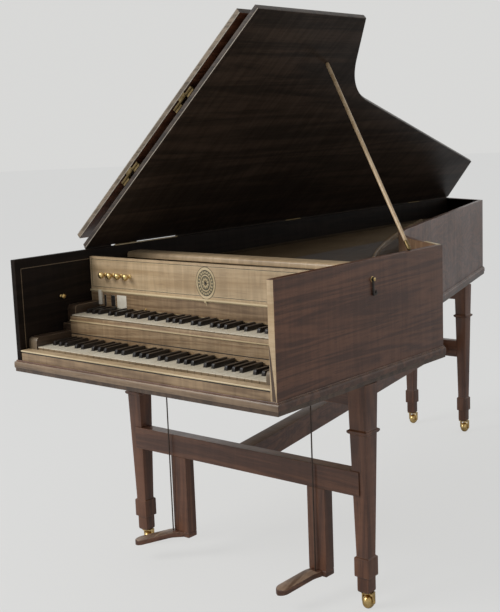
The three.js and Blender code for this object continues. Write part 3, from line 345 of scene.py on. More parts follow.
def wood(name, dark, light, run="y", figure=0.25, bands=5.0, pores=0.5, rough=(0.34, 0.52), coat=0.15,
         coat_rough=0.2, specular=0.5, wear=0.6, wear_colour=(0.42, 0.24, 0.13), stains=0.3, bump=0.25,
         size=1.0):
    material = bpy.data.materials.new(name)
    material.use_nodes = True
    tree = material.node_tree
    shader = tree.nodes["Principled BSDF"]
    place = tree.nodes.new("ShaderNodeTexCoord").outputs["Object"]
    grain = tree.nodes.new("ShaderNodeGroup")
    grain.node_tree = grain_group
    grain.inputs["Stretch"].default_value = [s * size for s in ALONG[run]]
    grain.inputs["Figure Stretch"].default_value = [s * size for s in ACROSS[run]]
    grain.inputs["Figure"].default_value = figure
    grain.inputs["Bands"].default_value = bands
    grain.inputs["Pores"].default_value = pores
    grain.inputs["Dark"].default_value = (*dark, 1)
    grain.inputs["Light"].default_value = (*light, 1)
    edges = tree.nodes.new("ShaderNodeGroup")
    edges.node_tree = wear_group
    edges.inputs["Amount"].default_value = wear
    marks = tree.nodes.new("ShaderNodeGroup")
    marks.node_tree = stain_group
    marks.inputs["Strength"].default_value = stains
    for group in (grain, edges, marks):
        tree.links.new(place, group.inputs["Vector"])
    stained = mixed(tree, 1.0, grain.outputs["Color"], marks.outputs["Tint"], "MULTIPLY")
    colour = mixed(tree, edges.outputs["Mask"], stained, (*wear_colour, 1))
    tree.links.new(colour, shader.inputs["Base Color"])
    uneven = math_node(tree, "ADD", math_node(tree, "MULTIPLY", grain.outputs["Gloss"], 0.5),
                       math_node(tree, "MULTIPLY", marks.outputs["Cloud"], 0.5))
    tree.links.new(mapped(tree, uneven, 0.0, 1.0, rough[0], rough[1], False), shader.inputs["Roughness"])
    relief = tree.nodes.new("ShaderNodeBump")
    relief.inputs["Strength"].default_value = bump
    relief.inputs["Distance"].default_value = 0.0006
    dents = math_node(tree, "SUBTRACT", grain.outputs["Height"],
                      math_node(tree, "MULTIPLY", marks.outputs["Scratches"], 0.5))
    tree.links.new(dents, relief.inputs["Height"])
    tree.links.new(relief.outputs["Normal"], shader.inputs["Normal"])
    shader.inputs["Coat Weight"].default_value = coat
    shader.inputs["Coat Roughness"].default_value = coat_rough
    shader.inputs["Specular IOR Level"].default_value = specular
    return material


MAHOGANY = ((0.075, 0.028, 0.014), (0.175, 0.072, 0.036))
case_wood = wood("case_mahogany", *MAHOGANY, run="y", figure=0.35, bands=7)
case_wood_up = wood("case_mahogany_upright", *MAHOGANY, run="z", figure=0.2)
case_wood_across = wood("case_mahogany_across", *MAHOGANY, run="x", figure=0.2)
veneer_wood = wood("figured_veneer", (0.47, 0.32, 0.17), (0.66, 0.49, 0.30), run="x", figure=0.3, bands=3,
                   pores=0.2, coat=0.2, wear=0.35, wear_colour=(0.7, 0.55, 0.36), stains=0.4)
slip_wood = wood("keyslip_banding", (0.22, 0.135, 0.07), (0.40, 0.27, 0.15), run="x", figure=0.4, bands=9,
                 pores=0.3, coat=0.2, wear=0.35, wear_colour=(0.6, 0.45, 0.3), stains=0.35)
# Near-black banding wood: painted shade in the base moulding's recess and a painted shadow on the cheek's
# front edge.
painted_shade_band = wood("banding_painted_shade", (0.05, 0.028, 0.016), (0.11, 0.065, 0.038), run="z", figure=0.1,
                 wear=0.2)
pale_line = wood("boxwood_line", (0.52, 0.40, 0.22), (0.72, 0.58, 0.36), run="x", figure=0.0, pores=0.1,
                 wear=0.1)
dark_line = wood("ebonised_line", (0.010, 0.008, 0.007), (0.03, 0.024, 0.02), run="x", figure=0.0, wear=0.1)
pine_wood = wood("planed_pine", (0.40, 0.27, 0.13), (0.62, 0.47, 0.27), run="x", figure=0.05, bands=12,
                 pores=0.1,
                 rough=(0.55, 0.75), coat=0.0, wear=0.3, wear_colour=(0.66, 0.52, 0.34), stains=0.45)
# The soundboard's spruce is darkened as painted shade.
painted_shade_spruce = wood("spruce_painted_shade", (0.085, 0.050, 0.026), (0.15, 0.095, 0.052), run="y", figure=0.05,
                    bands=22,
                    pores=0.05, rough=(0.5, 0.7), coat=0.0, specular=0.2, wear=0.1, stains=0.5)
trodden_wood = wood("trodden_mahogany", (0.13, 0.075, 0.045), (0.34, 0.23, 0.155), run="y", figure=0.3,
                    bands=6, coat=0.0, wear=0.9,
                    wear_colour=(0.55, 0.42, 0.30), stains=0.5)
pear_wood = wood("waxed_pearwood", (0.36, 0.22, 0.11), (0.54, 0.36, 0.20), run="y", figure=0.1, pores=0.2,
                 wear=0.3,
                 wear_colour=(0.6, 0.44, 0.27))
stick_wood = wood("pale_stick_wood", (0.50, 0.34, 0.18), (0.70, 0.52, 0.32), run="z", figure=0.1, pores=0.2,
                  wear=0.2, wear_colour=(0.75, 0.6, 0.4), size=2.0)
lime_wood = wood("lime_lever", (0.46, 0.34, 0.20), (0.62, 0.49, 0.32), run="y", figure=0.05, rough=(0.5, 0.7),
                 coat=0.0, wear=0.2)
print("wooden materials:", len(bpy.data.materials))

# %% [markdown]
# Bone and ebony are not wood grain. Bone plates carry fine straight pores and yellow where fingers rest;
# ebony is nearly black with a few brown streaks and goes grey where it is rubbed. Brass shows a dull brown
# skin in the hollows and bright metal on what is touched. Cloth is a soft nap.

# %% Bone, ebony, metal and cloth


def plain_material(name, first, second, scale, rough, metal=0.0, bump=0.1, stretch=(1, 1, 1), wear=0.0,
                   wear_colour=(1, 1, 1), coat=0.0, distance=0.0003, wear_width=0.0015):
    material = bpy.data.materials.new(name)
    material.use_nodes = True
    tree = material.node_tree
    shader = tree.nodes["Principled BSDF"]
    place = tree.nodes.new("ShaderNodeTexCoord").outputs["Object"]
    pulled = vector_math(tree, "MULTIPLY", place, stretch)
    streak = noise(tree, pulled, scale, 4.0, 0.6)
    slow = noise(tree, place, 9.0, 3.0, 0.6)
    both = math_node(tree, "ADD", math_node(tree, "MULTIPLY", streak, 0.6),
                     math_node(tree, "MULTIPLY", slow, 0.4))
    colour = mixed(tree, mapped(tree, both, 0.3, 0.7), (*first, 1), (*second, 1))
    edges = tree.nodes.new("ShaderNodeGroup")
    edges.node_tree = wear_group
    edges.inputs["Width"].default_value = wear_width
    edges.inputs["Amount"].default_value = wear
    tree.links.new(place, edges.inputs["Vector"])
    tree.links.new(mixed(tree, edges.outputs["Mask"], colour, (*wear_colour, 1)), shader.inputs["Base Color"])
    tree.links.new(mapped(tree, both, 0.3, 0.7, rough[0], rough[1], False), shader.inputs["Roughness"])
    shader.inputs["Metallic"].default_value = metal
    shader.inputs["Coat Weight"].default_value = coat
    relief = tree.nodes.new("ShaderNodeBump")
    relief.inputs["Strength"].default_value = bump
    relief.inputs["Distance"].default_value = distance
    tree.links.new(streak, relief.inputs["Height"])
    tree.links.new(relief.outputs["Normal"], shader.inputs["Normal"])
    return material


bone = plain_material("bone_plate", (0.60, 0.52, 0.38), (0.76, 0.70, 0.57), 40.0, (0.28, 0.45), bump=0.12,
                      stretch=(14, 1.2, 14), wear=0.3, wear_colour=(0.82, 0.78, 0.68), wear_width=0.0008)
ebony = plain_material("ebony_block", (0.006, 0.005, 0.005), (0.022, 0.016, 0.013), 30.0, (0.25, 0.42),
                       bump=0.1,
                       stretch=(14, 1.0, 14), wear=0.35, wear_colour=(0.07, 0.06, 0.055), wear_width=0.0008)
dull_brass = plain_material("dull_brass", (0.10, 0.07, 0.03), (0.26, 0.19, 0.09), 60.0, (0.35, 0.5),
                            metal=1.0)
brass = plain_material("worn_brass", (0.42, 0.27, 0.09), (0.78, 0.58, 0.27), 60.0, (0.20, 0.42), metal=1.0,
                       bump=0.15, wear=0.6, wear_colour=(0.92, 0.74, 0.42), wear_width=0.001)
rod_iron = plain_material("rusted_rod_iron", (0.035, 0.022, 0.015), (0.085, 0.055, 0.04), 80.0, (0.5, 0.7),
                          metal=0.3)
iron = plain_material("blackened_iron", (0.020, 0.019, 0.018), (0.07, 0.065, 0.06), 80.0, (0.35, 0.6),
                      metal=0.8,
                      bump=0.2, wear=0.3, wear_colour=(0.25, 0.24, 0.23), wear_width=0.001)
red_cloth = plain_material("red_cloth", (0.20, 0.03, 0.025), (0.34, 0.06, 0.045), 900.0, (0.85, 1.0),
                           bump=0.6,
                           distance=0.0004)
brass_wire = plain_material("brass_wire", (0.09, 0.06, 0.03), (0.18, 0.13, 0.07), 200.0, (0.35, 0.5),
                            metal=1.0)
steel_wire = plain_material("steel_wire", (0.10, 0.10, 0.10), (0.22, 0.22, 0.22), 200.0, (0.35, 0.5),
                            metal=1.0)
tablet = plain_material("bone_tablet", (0.66, 0.60, 0.48), (0.80, 0.75, 0.65), 50.0, (0.35, 0.5), bump=0.1,
                        wear=0.2,
                        wear_colour=(0.5, 0.42, 0.3))
print("materials so far:", len(bpy.data.materials))

# %% [markdown]
# Almost every part of the case is a board: an outline cut from a plank, with its arrises eased by hand.
# So the main helper raises an outline into a solid and bevels the edges that are sharp. Outlines may lie
# in plan, in side view or in front view. Small helpers turn round pieces and sweep mouldings.

# %% Helpers that make meshes
PLAN = lambda u, v, w: at(u, v, w)      # outline in (x, y), raised along z
SIDE = lambda u, v, w: at(w, u, v)      # outline in (y, z), drawn along x
FRONT = lambda u, v, w: at(u, w, v)     # outline in (x, z), drawn along y


def raise_outline(mesh, outline, low, high, place=PLAN, finish=0):
    """A closed solid from an outline, in millimetres, between two heights."""
    bottom = [mesh.verts.new(place(u, v, low)) for u, v in outline]
    top = [mesh.verts.new(place(u, v, high)) for u, v in outline]
    faces = [mesh.faces.new(bottom[::-1]), mesh.faces.new(top)]
    for i in range(len(outline)):
        j = (i + 1) % len(outline)
        faces.append(mesh.faces.new((bottom[i], bottom[j], top[j], top[i])))
    for face in faces:
        face.material_index = finish


def ease(mesh, width, segments=2, angle=30):
    """Rounds every edge that is sharper than the angle by the width in millimetres."""
    bmesh.ops.recalc_face_normals(mesh, faces=mesh.faces)
    sharp = [e for e in mesh.edges if len(e.link_faces) == 2 and e.calc_face_angle(0) > math.radians(angle)]
    bmesh.ops.bevel(mesh, geom=sharp, offset=width * MM, segments=segments, profile=0.6, affect="EDGES",
                    clamp_overlap=True)


def place_piece(name, mesh, body, materials, smooth=32, stands_for=None):
    """Finishes a mesh as a piece that rides on a body of the frame."""
    bmesh.ops.recalc_face_normals(mesh, faces=mesh.faces)
    data = bpy.data.meshes.new(name)
    mesh.to_mesh(data)
    mesh.free()
    for material in materials if isinstance(materials, (list, tuple)) else [materials]:
        data.materials.append(material)
    data.polygons.foreach_set("use_smooth", [True] * len(data.polygons))
    data.set_sharp_from_angle(angle=math.radians(smooth))
    piece = bpy.data.objects.new(name, data)
    scene.collection.objects.link(piece)
    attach(piece, body)
    if stands_for:
        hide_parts(stands_for)
    return piece


def rectangle(u0, u1, v0, v1):
    return [(u0, v0), (u1, v0), (u1, v1), (u0, v1)]


def rings_to_skin(mesh, rings, finish=0, caps=True):
    """Joins rings of points into a closed skin: with a face at each end, or the last ring to the first."""
    rows = [[mesh.verts.new(p) for p in ring] for ring in rings]
    pairs = list(zip(rows, rows[1:]))
    if not caps:
        pairs.append((rows[-1], rows[0]))
    for first, second in pairs:
        for i in range(len(first)):
            j = (i + 1) % len(first)
            mesh.faces.new((first[i], first[j], second[j], second[i])).material_index = finish
    if caps:
        mesh.faces.new(rows[0][::-1]).material_index = finish
        mesh.faces.new(rows[-1]).material_index = finish


AXES = {
    "z": lambda r, a, h: Vector((r * math.cos(a), r * math.sin(a), h)),
    "y": lambda r, a, h: Vector((r * math.cos(a), h, r * math.sin(a))),
    "x": lambda r, a, h: Vector((h, r * math.cos(a), r * math.sin(a))),
}


def turn(mesh, profile, centre, axis="z", sides=24, finish=0, direction=None):
    """A turned piece from (radius, height) pairs about an axis. The first and last pair close it."""
    spin = AXES[axis]
    if direction is not None:
        turn_to = Vector((0, 0, 1)).rotation_difference(Vector(direction).normalized()).to_matrix()
        spin = lambda r, a, h: turn_to @ Vector((r * math.cos(a), r * math.sin(a), h))
    centre = Vector(centre)
    rings = [[at(*(centre + spin(max(r, 0.01), math.tau * k / sides, h))) for k in range(sides)]
             for r, h in profile]
    rings_to_skin(mesh, rings, finish=finish)


def arc(cx, cy, radius, start, stop, steps):
    """Points of an arc, angles in degrees."""
    angles = [math.radians(start + (stop - start) * i / steps) for i in range(steps + 1)]
    return [(cx + radius * math.cos(angle), cy + radius * math.sin(angle)) for angle in angles]


print("helpers ready")

# %% [markdown]
# The case is bent: a straight cheek, a hollow bentside, a short tail and the long spine. One function gives
# its whole plan moved in or out by any distance, and so one plan serves the walls, the lid and the moulding.

# %% Plan of the case
WIDTH, TOP, UNDERSIDE, SPINE_LENGTH, CHEEK_LENGTH = 941.0, 935.0, 617.5, 2428.0, 752.0
TAIL_CORNER = Vector((WIDTH * 0.2476, 2322.0))
BEND_FRONT, BEND_TAIL = math.radians(53), math.radians(17.2)
CURVE_STEPS = 36


def side_lines(cheek, bent, tail, spine, front):
    """Each outer side as (point, direction), anticlockwise, moved inwards by its own inset."""
    def line(point, direction, inset):
        direction = direction.normalized()
        return point + Vector((-direction.y, direction.x)) * inset, direction
    corner_cheek, end_spine = Vector((WIDTH, CHEEK_LENGTH)), Vector((0, SPINE_LENGTH))
    return {
        "cheek": line(Vector((WIDTH, 0)), Vector((0, 1)), cheek),
        "bent_front": line(corner_cheek, Vector((-math.sin(BEND_FRONT), math.cos(BEND_FRONT))), bent),
        "bent_tail": line(TAIL_CORNER, Vector((-math.sin(BEND_TAIL), math.cos(BEND_TAIL))), bent),
        "tail": line(TAIL_CORNER, end_spine - TAIL_CORNER, tail),
        "spine": line(end_spine, Vector((0, -1)), spine),
        "front": line(Vector((0, 0)), Vector((1, 0)), front),
    }


def meet(first, second):
    (p, d), (q, e) = first, second
    across = d.x * e.y - d.y * e.x
    gap = q - p
    return p + d * ((gap.x * e.y - gap.y * e.x) / across)


outer_sides = side_lines(0, 0, 0, 0, 0)
TURN = BEND_FRONT - BEND_TAIL
straight = (meet(outer_sides["bent_front"], outer_sides["bent_tail"]) - outer_sides["bent_front"][0]).length
BEND_RADIUS = 0.458 * straight / math.tan(TURN / 2)


def bend(sides, inset):
    corner_point = meet(sides["bent_front"], sides["bent_tail"])
    radius = BEND_RADIUS + inset
    direction = sides["bent_front"][1]
    start = corner_point - direction * (radius * math.tan(TURN / 2))
    centre = start + Vector((direction.y, -direction.x)) * radius
    points = []
    for step in range(CURVE_STEPS + 1):
        angle = -TURN * step / CURVE_STEPS
        spoke = start - centre
        points.append(centre + Vector((spoke.x * math.cos(angle) - spoke.y * math.sin(angle),
                                       spoke.x * math.sin(angle) + spoke.y * math.cos(angle))))
    return points


def plan(inset, front=None, spine=None, over_bent=0, over_tail=0):
    """The plan, anticlockwise from the front left corner. Bentside and tail may stand out further."""
    sides = side_lines(inset, inset - over_bent, inset - over_tail, inset if spine is None else spine,
                       inset if front is None else front)
    return [tuple(p) for p in (
        meet(sides["spine"], sides["front"]), meet(sides["front"], sides["cheek"]),
        meet(sides["cheek"], sides["bent_front"]), *bend(sides, inset - over_bent),
        meet(sides["bent_tail"], sides["tail"]), meet(sides["tail"], sides["spine"]))]


print("bend radius", round(BEND_RADIUS, 1), "mm; plan of", len(plan(0)), "points")

# %% [markdown]
# The walls stand on the bottom board. Spine and cheek close the keyboards in at their front. The inner
# faces of spine, cheek and tail, and the spine's rim and front end, are near-black as painted shade; the
# bentside's inner face is a paler veneer, painted lighter as if lit. One board therefore takes several
# finishes: each face's own direction says whether it looks inwards, upwards or to the front.

# %% Case walls
GAP, BOTTOM_THICK, WALL_ARRIS = 0.3, 22.5, 1.2
WALL_FOOT = UNDERSIDE + BOTTOM_THICK + GAP
SPINE_WALL, CHEEK_WALL, BENT_WALL = 17.0, 20.0, 17.0
inner_sides = side_lines(CHEEK_WALL, BENT_WALL, BENT_WALL, SPINE_WALL, 0)
cheek_out, cheek_in = (meet(s["cheek"], s["bent_front"]) for s in (outer_sides, inner_sides))
tail_out, tail_in = (meet(s["bent_tail"], s["tail"]) for s in (outer_sides, inner_sides))


# Near-black for the inner faces of spine, cheek and tail and for the spine's rim and front: painted shade.
painted_shade_wood = wood("inner_face_painted_shade", (0.006, 0.004, 0.003), (0.016, 0.010, 0.007), run="y", figure=0.3,
                   rough=(0.5, 0.7),
                   coat=0.0, specular=0.1, wear=0.1, stains=0.3)
# A paler veneer for the bentside's inner face, painted lighter as if lit.
veneer_and_painted_light = wood("inner_veneer_and_painted_light", (0.30, 0.17, 0.10), (0.46, 0.29, 0.17), run="y", figure=0.2, bands=4,
                  coat=0.0, wear=0.2)


def wall(name, outline, material, inner, inwards, rim=None):
    """A wall with painted shade on its inner face (painted light on the bentside's) and on the spine's rim
    and end.
    """
    mesh = bmesh.new()
    raise_outline(mesh, outline, WALL_FOOT, TOP)
    ease(mesh, WALL_ARRIS, 3)
    for face in mesh.faces:
        if face.normal.dot(Vector(inwards)) > 0.25 and abs(face.normal.z) < 0.5:
            face.material_index = 1
        elif rim and (face.normal.z > 0.5 or face.normal.y < -0.5):
            face.material_index = 2
    return place_piece(f"{name}_board", mesh, "case", [material, inner, rim or material],
                       stands_for=name)


spine_line = (Vector((SPINE_WALL, 0)), Vector((0, 1)))
tail_at_spine = meet(outer_sides["tail"], spine_line)
wall("spine", [(0, 0), (SPINE_WALL, 0), tuple(tail_at_spine), (0, SPINE_LENGTH)], case_wood, painted_shade_wood,
     (1, 0, 0),
     painted_shade_wood)
wall("cheekpiece", [(WIDTH, 0), (WIDTH, cheek_out.y - GAP), (WIDTH - CHEEK_WALL, cheek_in.y - GAP),
                    (WIDTH - CHEEK_WALL, 0)], case_wood, painted_shade_wood, (-1, 0, 0))
wall("bentside", [tuple(cheek_out), *map(tuple, bend(outer_sides, 0)), tuple(tail_out), tuple(tail_in),
                  *map(tuple, reversed(bend(inner_sides, BENT_WALL))), tuple(cheek_in)], case_wood,
                  veneer_and_painted_light, (-1, 0, 0))
tail_step = (Vector((0, SPINE_LENGTH)) - TAIL_CORNER).normalized() * GAP
tail_line = (Vector((SPINE_WALL + GAP, 0)), Vector((0, 1)))
wall("tailpiece", [tuple(tail_out + tail_step), tuple(meet(outer_sides["tail"], tail_line)),
                   tuple(meet(inner_sides["tail"], tail_line)), tuple(tail_in + tail_step)], case_wood_across,
     painted_shade_wood, (0, -1, 0))

# %% [markdown]
# Inlaid lines and bands are thin slips of contrasting wood glued into the surface. Each is its own small
# board, about half a millimetre proud, with the faintest easing, so light catches it as on real inlay. The
# lines on the inner faces take a darker copy of the boxwood, as painted shade. The cheek's front edge is
# veneered, and the dark wedge on it is a painted shadow. Spine and bentside each carry a pale slip on their
# rim as a painted highlight, which stands higher so that it shows from the player's side.

# %% Inlay lines, a painted shadow and painted rim highlights at the keyboards
PROUD = 0.35


def slips(name, boxes, body, material, width=0.12):
    """Several thin slips in one piece; each box is (x0, x1, y0, y1, z0, z1)."""
    mesh = bmesh.new()
    for x0, x1, y0, y1, z0, z1 in boxes:
        raise_outline(mesh, rectangle(x0, x1, y0, y1), z0, z1)
    ease(mesh, width, 1)
    return place_piece(name, mesh, body, material)


LET_IN, LINE_WIDTH = 0.5, 2
LINE_FRONT, LINE_BACK, LINE_FOOT, LINE_TOP = 19.5, 277, 682, 909
x_cheek = WIDTH - CHEEK_WALL


def turned_line(x0, x1):
    """A line that rises near the front and then runs back along the top, as two boxes."""
    return [(x0, x1, LINE_FRONT, LINE_FRONT + LINE_WIDTH, LINE_FOOT, LINE_TOP),
            (x0, x1, LINE_FRONT, LINE_BACK, LINE_TOP - LINE_WIDTH, LINE_TOP)]


# A darker copy of the boxwood line: painted shade for the lines on the shaded inner faces.
painted_shade_line = wood("boxwood_line_painted_shade", (0.10, 0.07, 0.04), (0.17, 0.12, 0.07), run="y", figure=0.0, pores=0.1,
                 coat=0.0, wear=0.1)
slips("spine_inner_line", turned_line(SPINE_WALL - LET_IN, SPINE_WALL + PROUD), "case", painted_shade_line)
slips("cheek_inner_line", turned_line(x_cheek - PROUD, x_cheek + LET_IN), "case", painted_shade_line)
slips("cheek_front_veneer", [(x_cheek + 0.6, WIDTH - 1.0, -0.3, 0.5, 650, TOP - 1.2)], "case", veneer_wood)
# The dark wedge on the cheek's front edge is a painted shadow.
wedge = [(922, 780), (923.2, 780), (926.5, 755), (930, 725), (933.5, 695), (936, 665), (938, 651), (927, 651),
         (926, 680),
         (924, 715), (922.6, 745)]
mesh = bmesh.new()
raise_outline(mesh, wedge, -PROUD - 0.15, 0.4, FRONT)
place_piece("cheek_front_painted_shadow", mesh, "case", painted_shade_band)
# The pale slips on the bentside's and spine's rims are painted highlights where light catches the rim.
back = Vector((-math.sin(BEND_FRONT), math.cos(BEND_FRONT)))
into = Vector((-back.y, back.x))
RIM_INSET, SLIP_START, SLIP_END, SLIP_WIDTH = 4, 4, 100, 10
BENTSIDE_HIGHLIGHT_RISE, SPINE_HIGHLIGHT_RISE = 1.2, 3.2
start = cheek_out + into * RIM_INSET
highlight_corners = [start + back * SLIP_START, start + back * SLIP_END,
                start + back * SLIP_END + into * SLIP_WIDTH, start + back * SLIP_START + into * SLIP_WIDTH]
mesh = bmesh.new()
raise_outline(mesh, [tuple(p) for p in highlight_corners], TOP - LET_IN, TOP + BENTSIDE_HIGHLIGHT_RISE)
ease(mesh, 0.4, 2)
place_piece("bentside_rim_painted_highlight", mesh, "case", pale_line)
slips("spine_rim_painted_highlight", [(11.5, 15.5, 384, 663, TOP - LET_IN, TOP + SPINE_HIGHLIGHT_RISE)], "case", pale_line,
      width=0.6)
print("inlay slips placed")

# %% [markdown]
# The base moulding is planed in long lengths: a narrow recess under a rounded nose, the recess coloured dark
# as painted shade. A moulding is a profile swept along a path, and with the plan function each profile
# point is one outline of the plan. The nose of the front length is faced with a lighter copy of the
# moulding wood, as painted light.

# %% Base moulding
RECESS_TOP = 629.5
profile = [(0.3, 617.5), (4.2, 617.5), (4.8, 619.0), (4.8, 626.5), (6.4, 628.2), (7.0, 630.6), (7.0, 640.5),
           (6.3, 643.6), (4.6, 645.7), (2.6, 646.4), (2.6, 648.6), (1.4, 650.0), (0.3, 650.0)]
mesh = bmesh.new()
rings_to_skin(mesh, [[at(x, y, z) for x, y in plan(-out)] for out, z in profile], caps=False)
moulding_wood = wood("moulding_mahogany", (0.060, 0.026, 0.015), (0.15, 0.070, 0.040), run="x", figure=0.1,
                     wear=0.8,
                     wear_colour=(0.50, 0.32, 0.19))
# The recess faces take the dark banding as painted shade.
for face in mesh.faces:
    if face.calc_center_median().z < at(0, 0, RECESS_TOP).z:
        face.material_index = 1
place_piece("base_moulding_run", mesh, "case", [moulding_wood, painted_shade_band], smooth=28,
            stands_for="base_moulding")
mesh = bmesh.new()
front_profile = [(-6.6, 629.0), (-7.35, 631.0), (-7.35, 640.3), (-6.6, 643.4), (-4.9, 645.5), (-4.0, 645.5),
                 (-4.0, 629.0)]
MOULDING_END = 6.5
raise_outline(mesh, front_profile, -MOULDING_END, WIDTH + MOULDING_END, SIDE)
# A lighter copy of the moulding wood for the front length's nose: painted light.
painted_light_moulding = wood("front_moulding_painted_light", (0.15, 0.095, 0.055), (0.30, 0.205, 0.125), run="x", figure=0.2,
                     wear=0.5,
                     wear_colour=(0.6, 0.45, 0.3))
place_piece("front_moulding_face", mesh, "case", painted_light_moulding, smooth=28)
print("moulding profile of", len(profile), "points")

# %% [markdown]
# Nameboard and keyslip are panelled boards: a field of veneer with fine lines round it and, on the upper
# half of the nameboard, a border of figured veneer outside the lines. The front face is divided into nested
# rectangles, and each ring takes its own veneer. The rings are cut into the face itself, so the board stays
# one closed solid.

# %% Panelled boards


def panelled(mesh, x0, x1, z0, z1, front, back, bands, field):
    """A board whose front carries nested bands. Each band is (width, material index)."""
    inset, rings = 0.0, [((x0, x1, z0, z1), None)]
    for width, finish in bands:
        inset += width
        rings.append(((x0 + inset, x1 - inset, z0 + inset, z1 - inset), finish))

    def ring_verts(box, y):
        a, b, c, d = box
        return [mesh.verts.new(at(x, y, z)) for x, z in ((a, c), (b, c), (b, d), (a, d))]

    previous = ring_verts(rings[0][0], front)
    rear = ring_verts(rings[0][0], back)
    edge_finish = bands[0][1] if bands else field
    for i in range(4):
        j = (i + 1) % 4
        mesh.faces.new((previous[i], rear[i], rear[j], previous[j])).material_index = edge_finish
    mesh.faces.new(rear).material_index = edge_finish
    for box, finish in rings[1:]:
        current = ring_verts(box, front)
        for i in range(4):
            j = (i + 1) % 4
            mesh.faces.new((previous[i], previous[j], current[j], current[i])).material_index = finish
        previous = current
    mesh.faces.new(previous).material_index = field


X_LEFT, X_RIGHT = SPINE_WALL + GAP, WIDTH - CHEEK_WALL - GAP
NAMEBOARD_FRONT, NAMEBOARD_BACK = 278, 290
BATTEN_LOW, BATTEN_HIGH = 811, 818
VENEERS = [veneer_wood, slip_wood, pale_line, dark_line]
mesh = bmesh.new()
panelled(mesh, X_LEFT, X_RIGHT, BATTEN_HIGH, 915, NAMEBOARD_FRONT, NAMEBOARD_BACK,
         [(7, 0), (1.4, 3), (1.2, 2)], 0)
panelled(mesh, X_LEFT, X_RIGHT, 765, BATTEN_LOW, NAMEBOARD_FRONT, NAMEBOARD_BACK, [(1.4, 2)], 1)
ease(mesh, 0.5, 2, 60)
place_piece("nameboard_veneered", mesh, "case", VENEERS, stands_for="nameboard")
mesh = bmesh.new()
batten = [(NAMEBOARD_BACK, BATTEN_LOW), (NAMEBOARD_BACK, BATTEN_HIGH), (276.5, BATTEN_HIGH), (274.6, 817.2),
          (273.2, 815.6), (273.0, 814.0), (273.6, 812.6),
          (275.0, 811.6), (276.0, 811.0)]
raise_outline(mesh, batten, X_LEFT, X_RIGHT, SIDE)
place_piece("nameboard_batten", mesh, "case", pale_line)

# %% [markdown]
# The keyslip closes the lower keyboard's front. From above: a rounded light moulding, a groove coloured
# black as painted shade and a panel of darker banded veneer with a thin dark line round it.

# %% Keyslip
KEYSLIP_FRONT, KEYSLIP_BACK, PANEL_TOP, GROOVE_TOP = 2.3, 30, 672, 674
mesh = bmesh.new()
bead = [(30, 674), (30, 679), (3.0, 679), (1.5, 678.6), (0.6, 677.7), (0.3, 676.5), (0.6, 675.3),
        (1.5, 674.4),
        (3.0, 674)]
raise_outline(mesh, bead, X_LEFT, X_RIGHT, SIDE, 2)
mesh.normal_update()
for face in mesh.faces:
    if abs(face.normal.z) > 0.9 and face.material_index == 2:
        face.material_index = 0
# The groove is coloured black: painted shade.
raise_outline(mesh, [(KEYSLIP_BACK, PANEL_TOP), (KEYSLIP_BACK, GROOVE_TOP), (3.6, GROOVE_TOP),
                     (3.6, PANEL_TOP)],
              X_LEFT, X_RIGHT, SIDE, 3)
panelled(mesh, X_LEFT, X_RIGHT, WALL_FOOT, PANEL_TOP, KEYSLIP_FRONT, KEYSLIP_BACK, [(0.8, 3)], 1)
place_piece("keyslip_veneered", mesh, "case", VENEERS, stands_for="keyslip")
print("keyslip bead of", len(bead), "points")

# %% [markdown]
# An inlaid patera is the usual ornament of the period: an oval of petals in a ring of light and dark
# lines, here with three drops below it. Every part is a thin plate cut to its outline, and each lies a hair
# above the last.

# %% Oval patera on the nameboard


def oval(cx, cz, rx, rz, count=48):
    return [(cx + rx * math.cos(math.tau * i / count),
             cz + rz * math.sin(math.tau * i / count)) for i in range(count)]


def plate(mesh, outline, y, thick, finish):
    raise_outline(mesh, outline, y - thick, y + 0.2, FRONT, finish)


CENTRE_X, CENTRE_Z, OVAL_X, OVAL_Z = 481.0, 862.0, 36, 45
green_stain = wood("stained_sycamore", (0.10, 0.085, 0.045), (0.22, 0.19, 0.11), run="z", figure=0.2,
                   wear=0.1)
mesh = bmesh.new()
for size, thick, finish in ((1.0, 0.30, 3), (0.965, 0.36, 2), (0.80, 0.42, 3), (0.76, 0.48, 4),
                            (0.56, 0.54, 3),
                            (0.53, 0.60, 2), (0.44, 0.66, 3), (0.40, 0.68, 4)):
    plate(mesh, oval(CENTRE_X, CENTRE_Z, OVAL_X * size, OVAL_Z * size), NAMEBOARD_FRONT, thick, finish)
for k in range(20):
    angle = math.tau * k / 20
    middle = (CENTRE_X + 23.8 * math.cos(angle), CENTRE_Z + 29.7 * math.sin(angle))
    petal = []
    for t in range(12):
        turn_at = math.tau * t / 12
        along_r, across_r = 3.4 * math.cos(turn_at), 2.2 * math.sin(turn_at)
        petal.append((middle[0] + along_r * math.cos(angle) - across_r * math.sin(angle),
                      middle[1] + along_r * math.sin(angle) + across_r * math.cos(angle)))
    plate(mesh, petal, NAMEBOARD_FRONT, 0.75, 2)
for k in range(10):
    angle = math.tau * (k + 0.5) / 10
    petal = []
    for t in range(14):
        turn_at = math.tau * t / 14
        reach = 7.6 + 5.2 * math.cos(turn_at)
        spread = 2.5 * math.sin(turn_at) * (1.15 - 0.3 * math.cos(turn_at))
        petal.append((CENTRE_X + (reach * math.cos(angle) - spread * math.sin(angle)) * 0.95,
                      CENTRE_Z + (reach * math.sin(angle) + spread * math.cos(angle)) * 1.2))
    plate(mesh, petal, NAMEBOARD_FRONT, 0.85, 2)
plate(mesh, oval(CENTRE_X, CENTRE_Z, 3.4, 3.8, 16), NAMEBOARD_FRONT, 1.0, 3)
for size, z in ((3.4, 811.5), (2.6, 806.0), (1.8, 801.8)):
    on_batten = z > BATTEN_LOW
    plate(mesh, oval(CENTRE_X, z, size, size * 1.2, 16), 273.2 if on_batten else NAMEBOARD_FRONT, 0.5, 2)
place_piece("nameboard_patera", mesh, "case", [*VENEERS, green_stain], smooth=50)

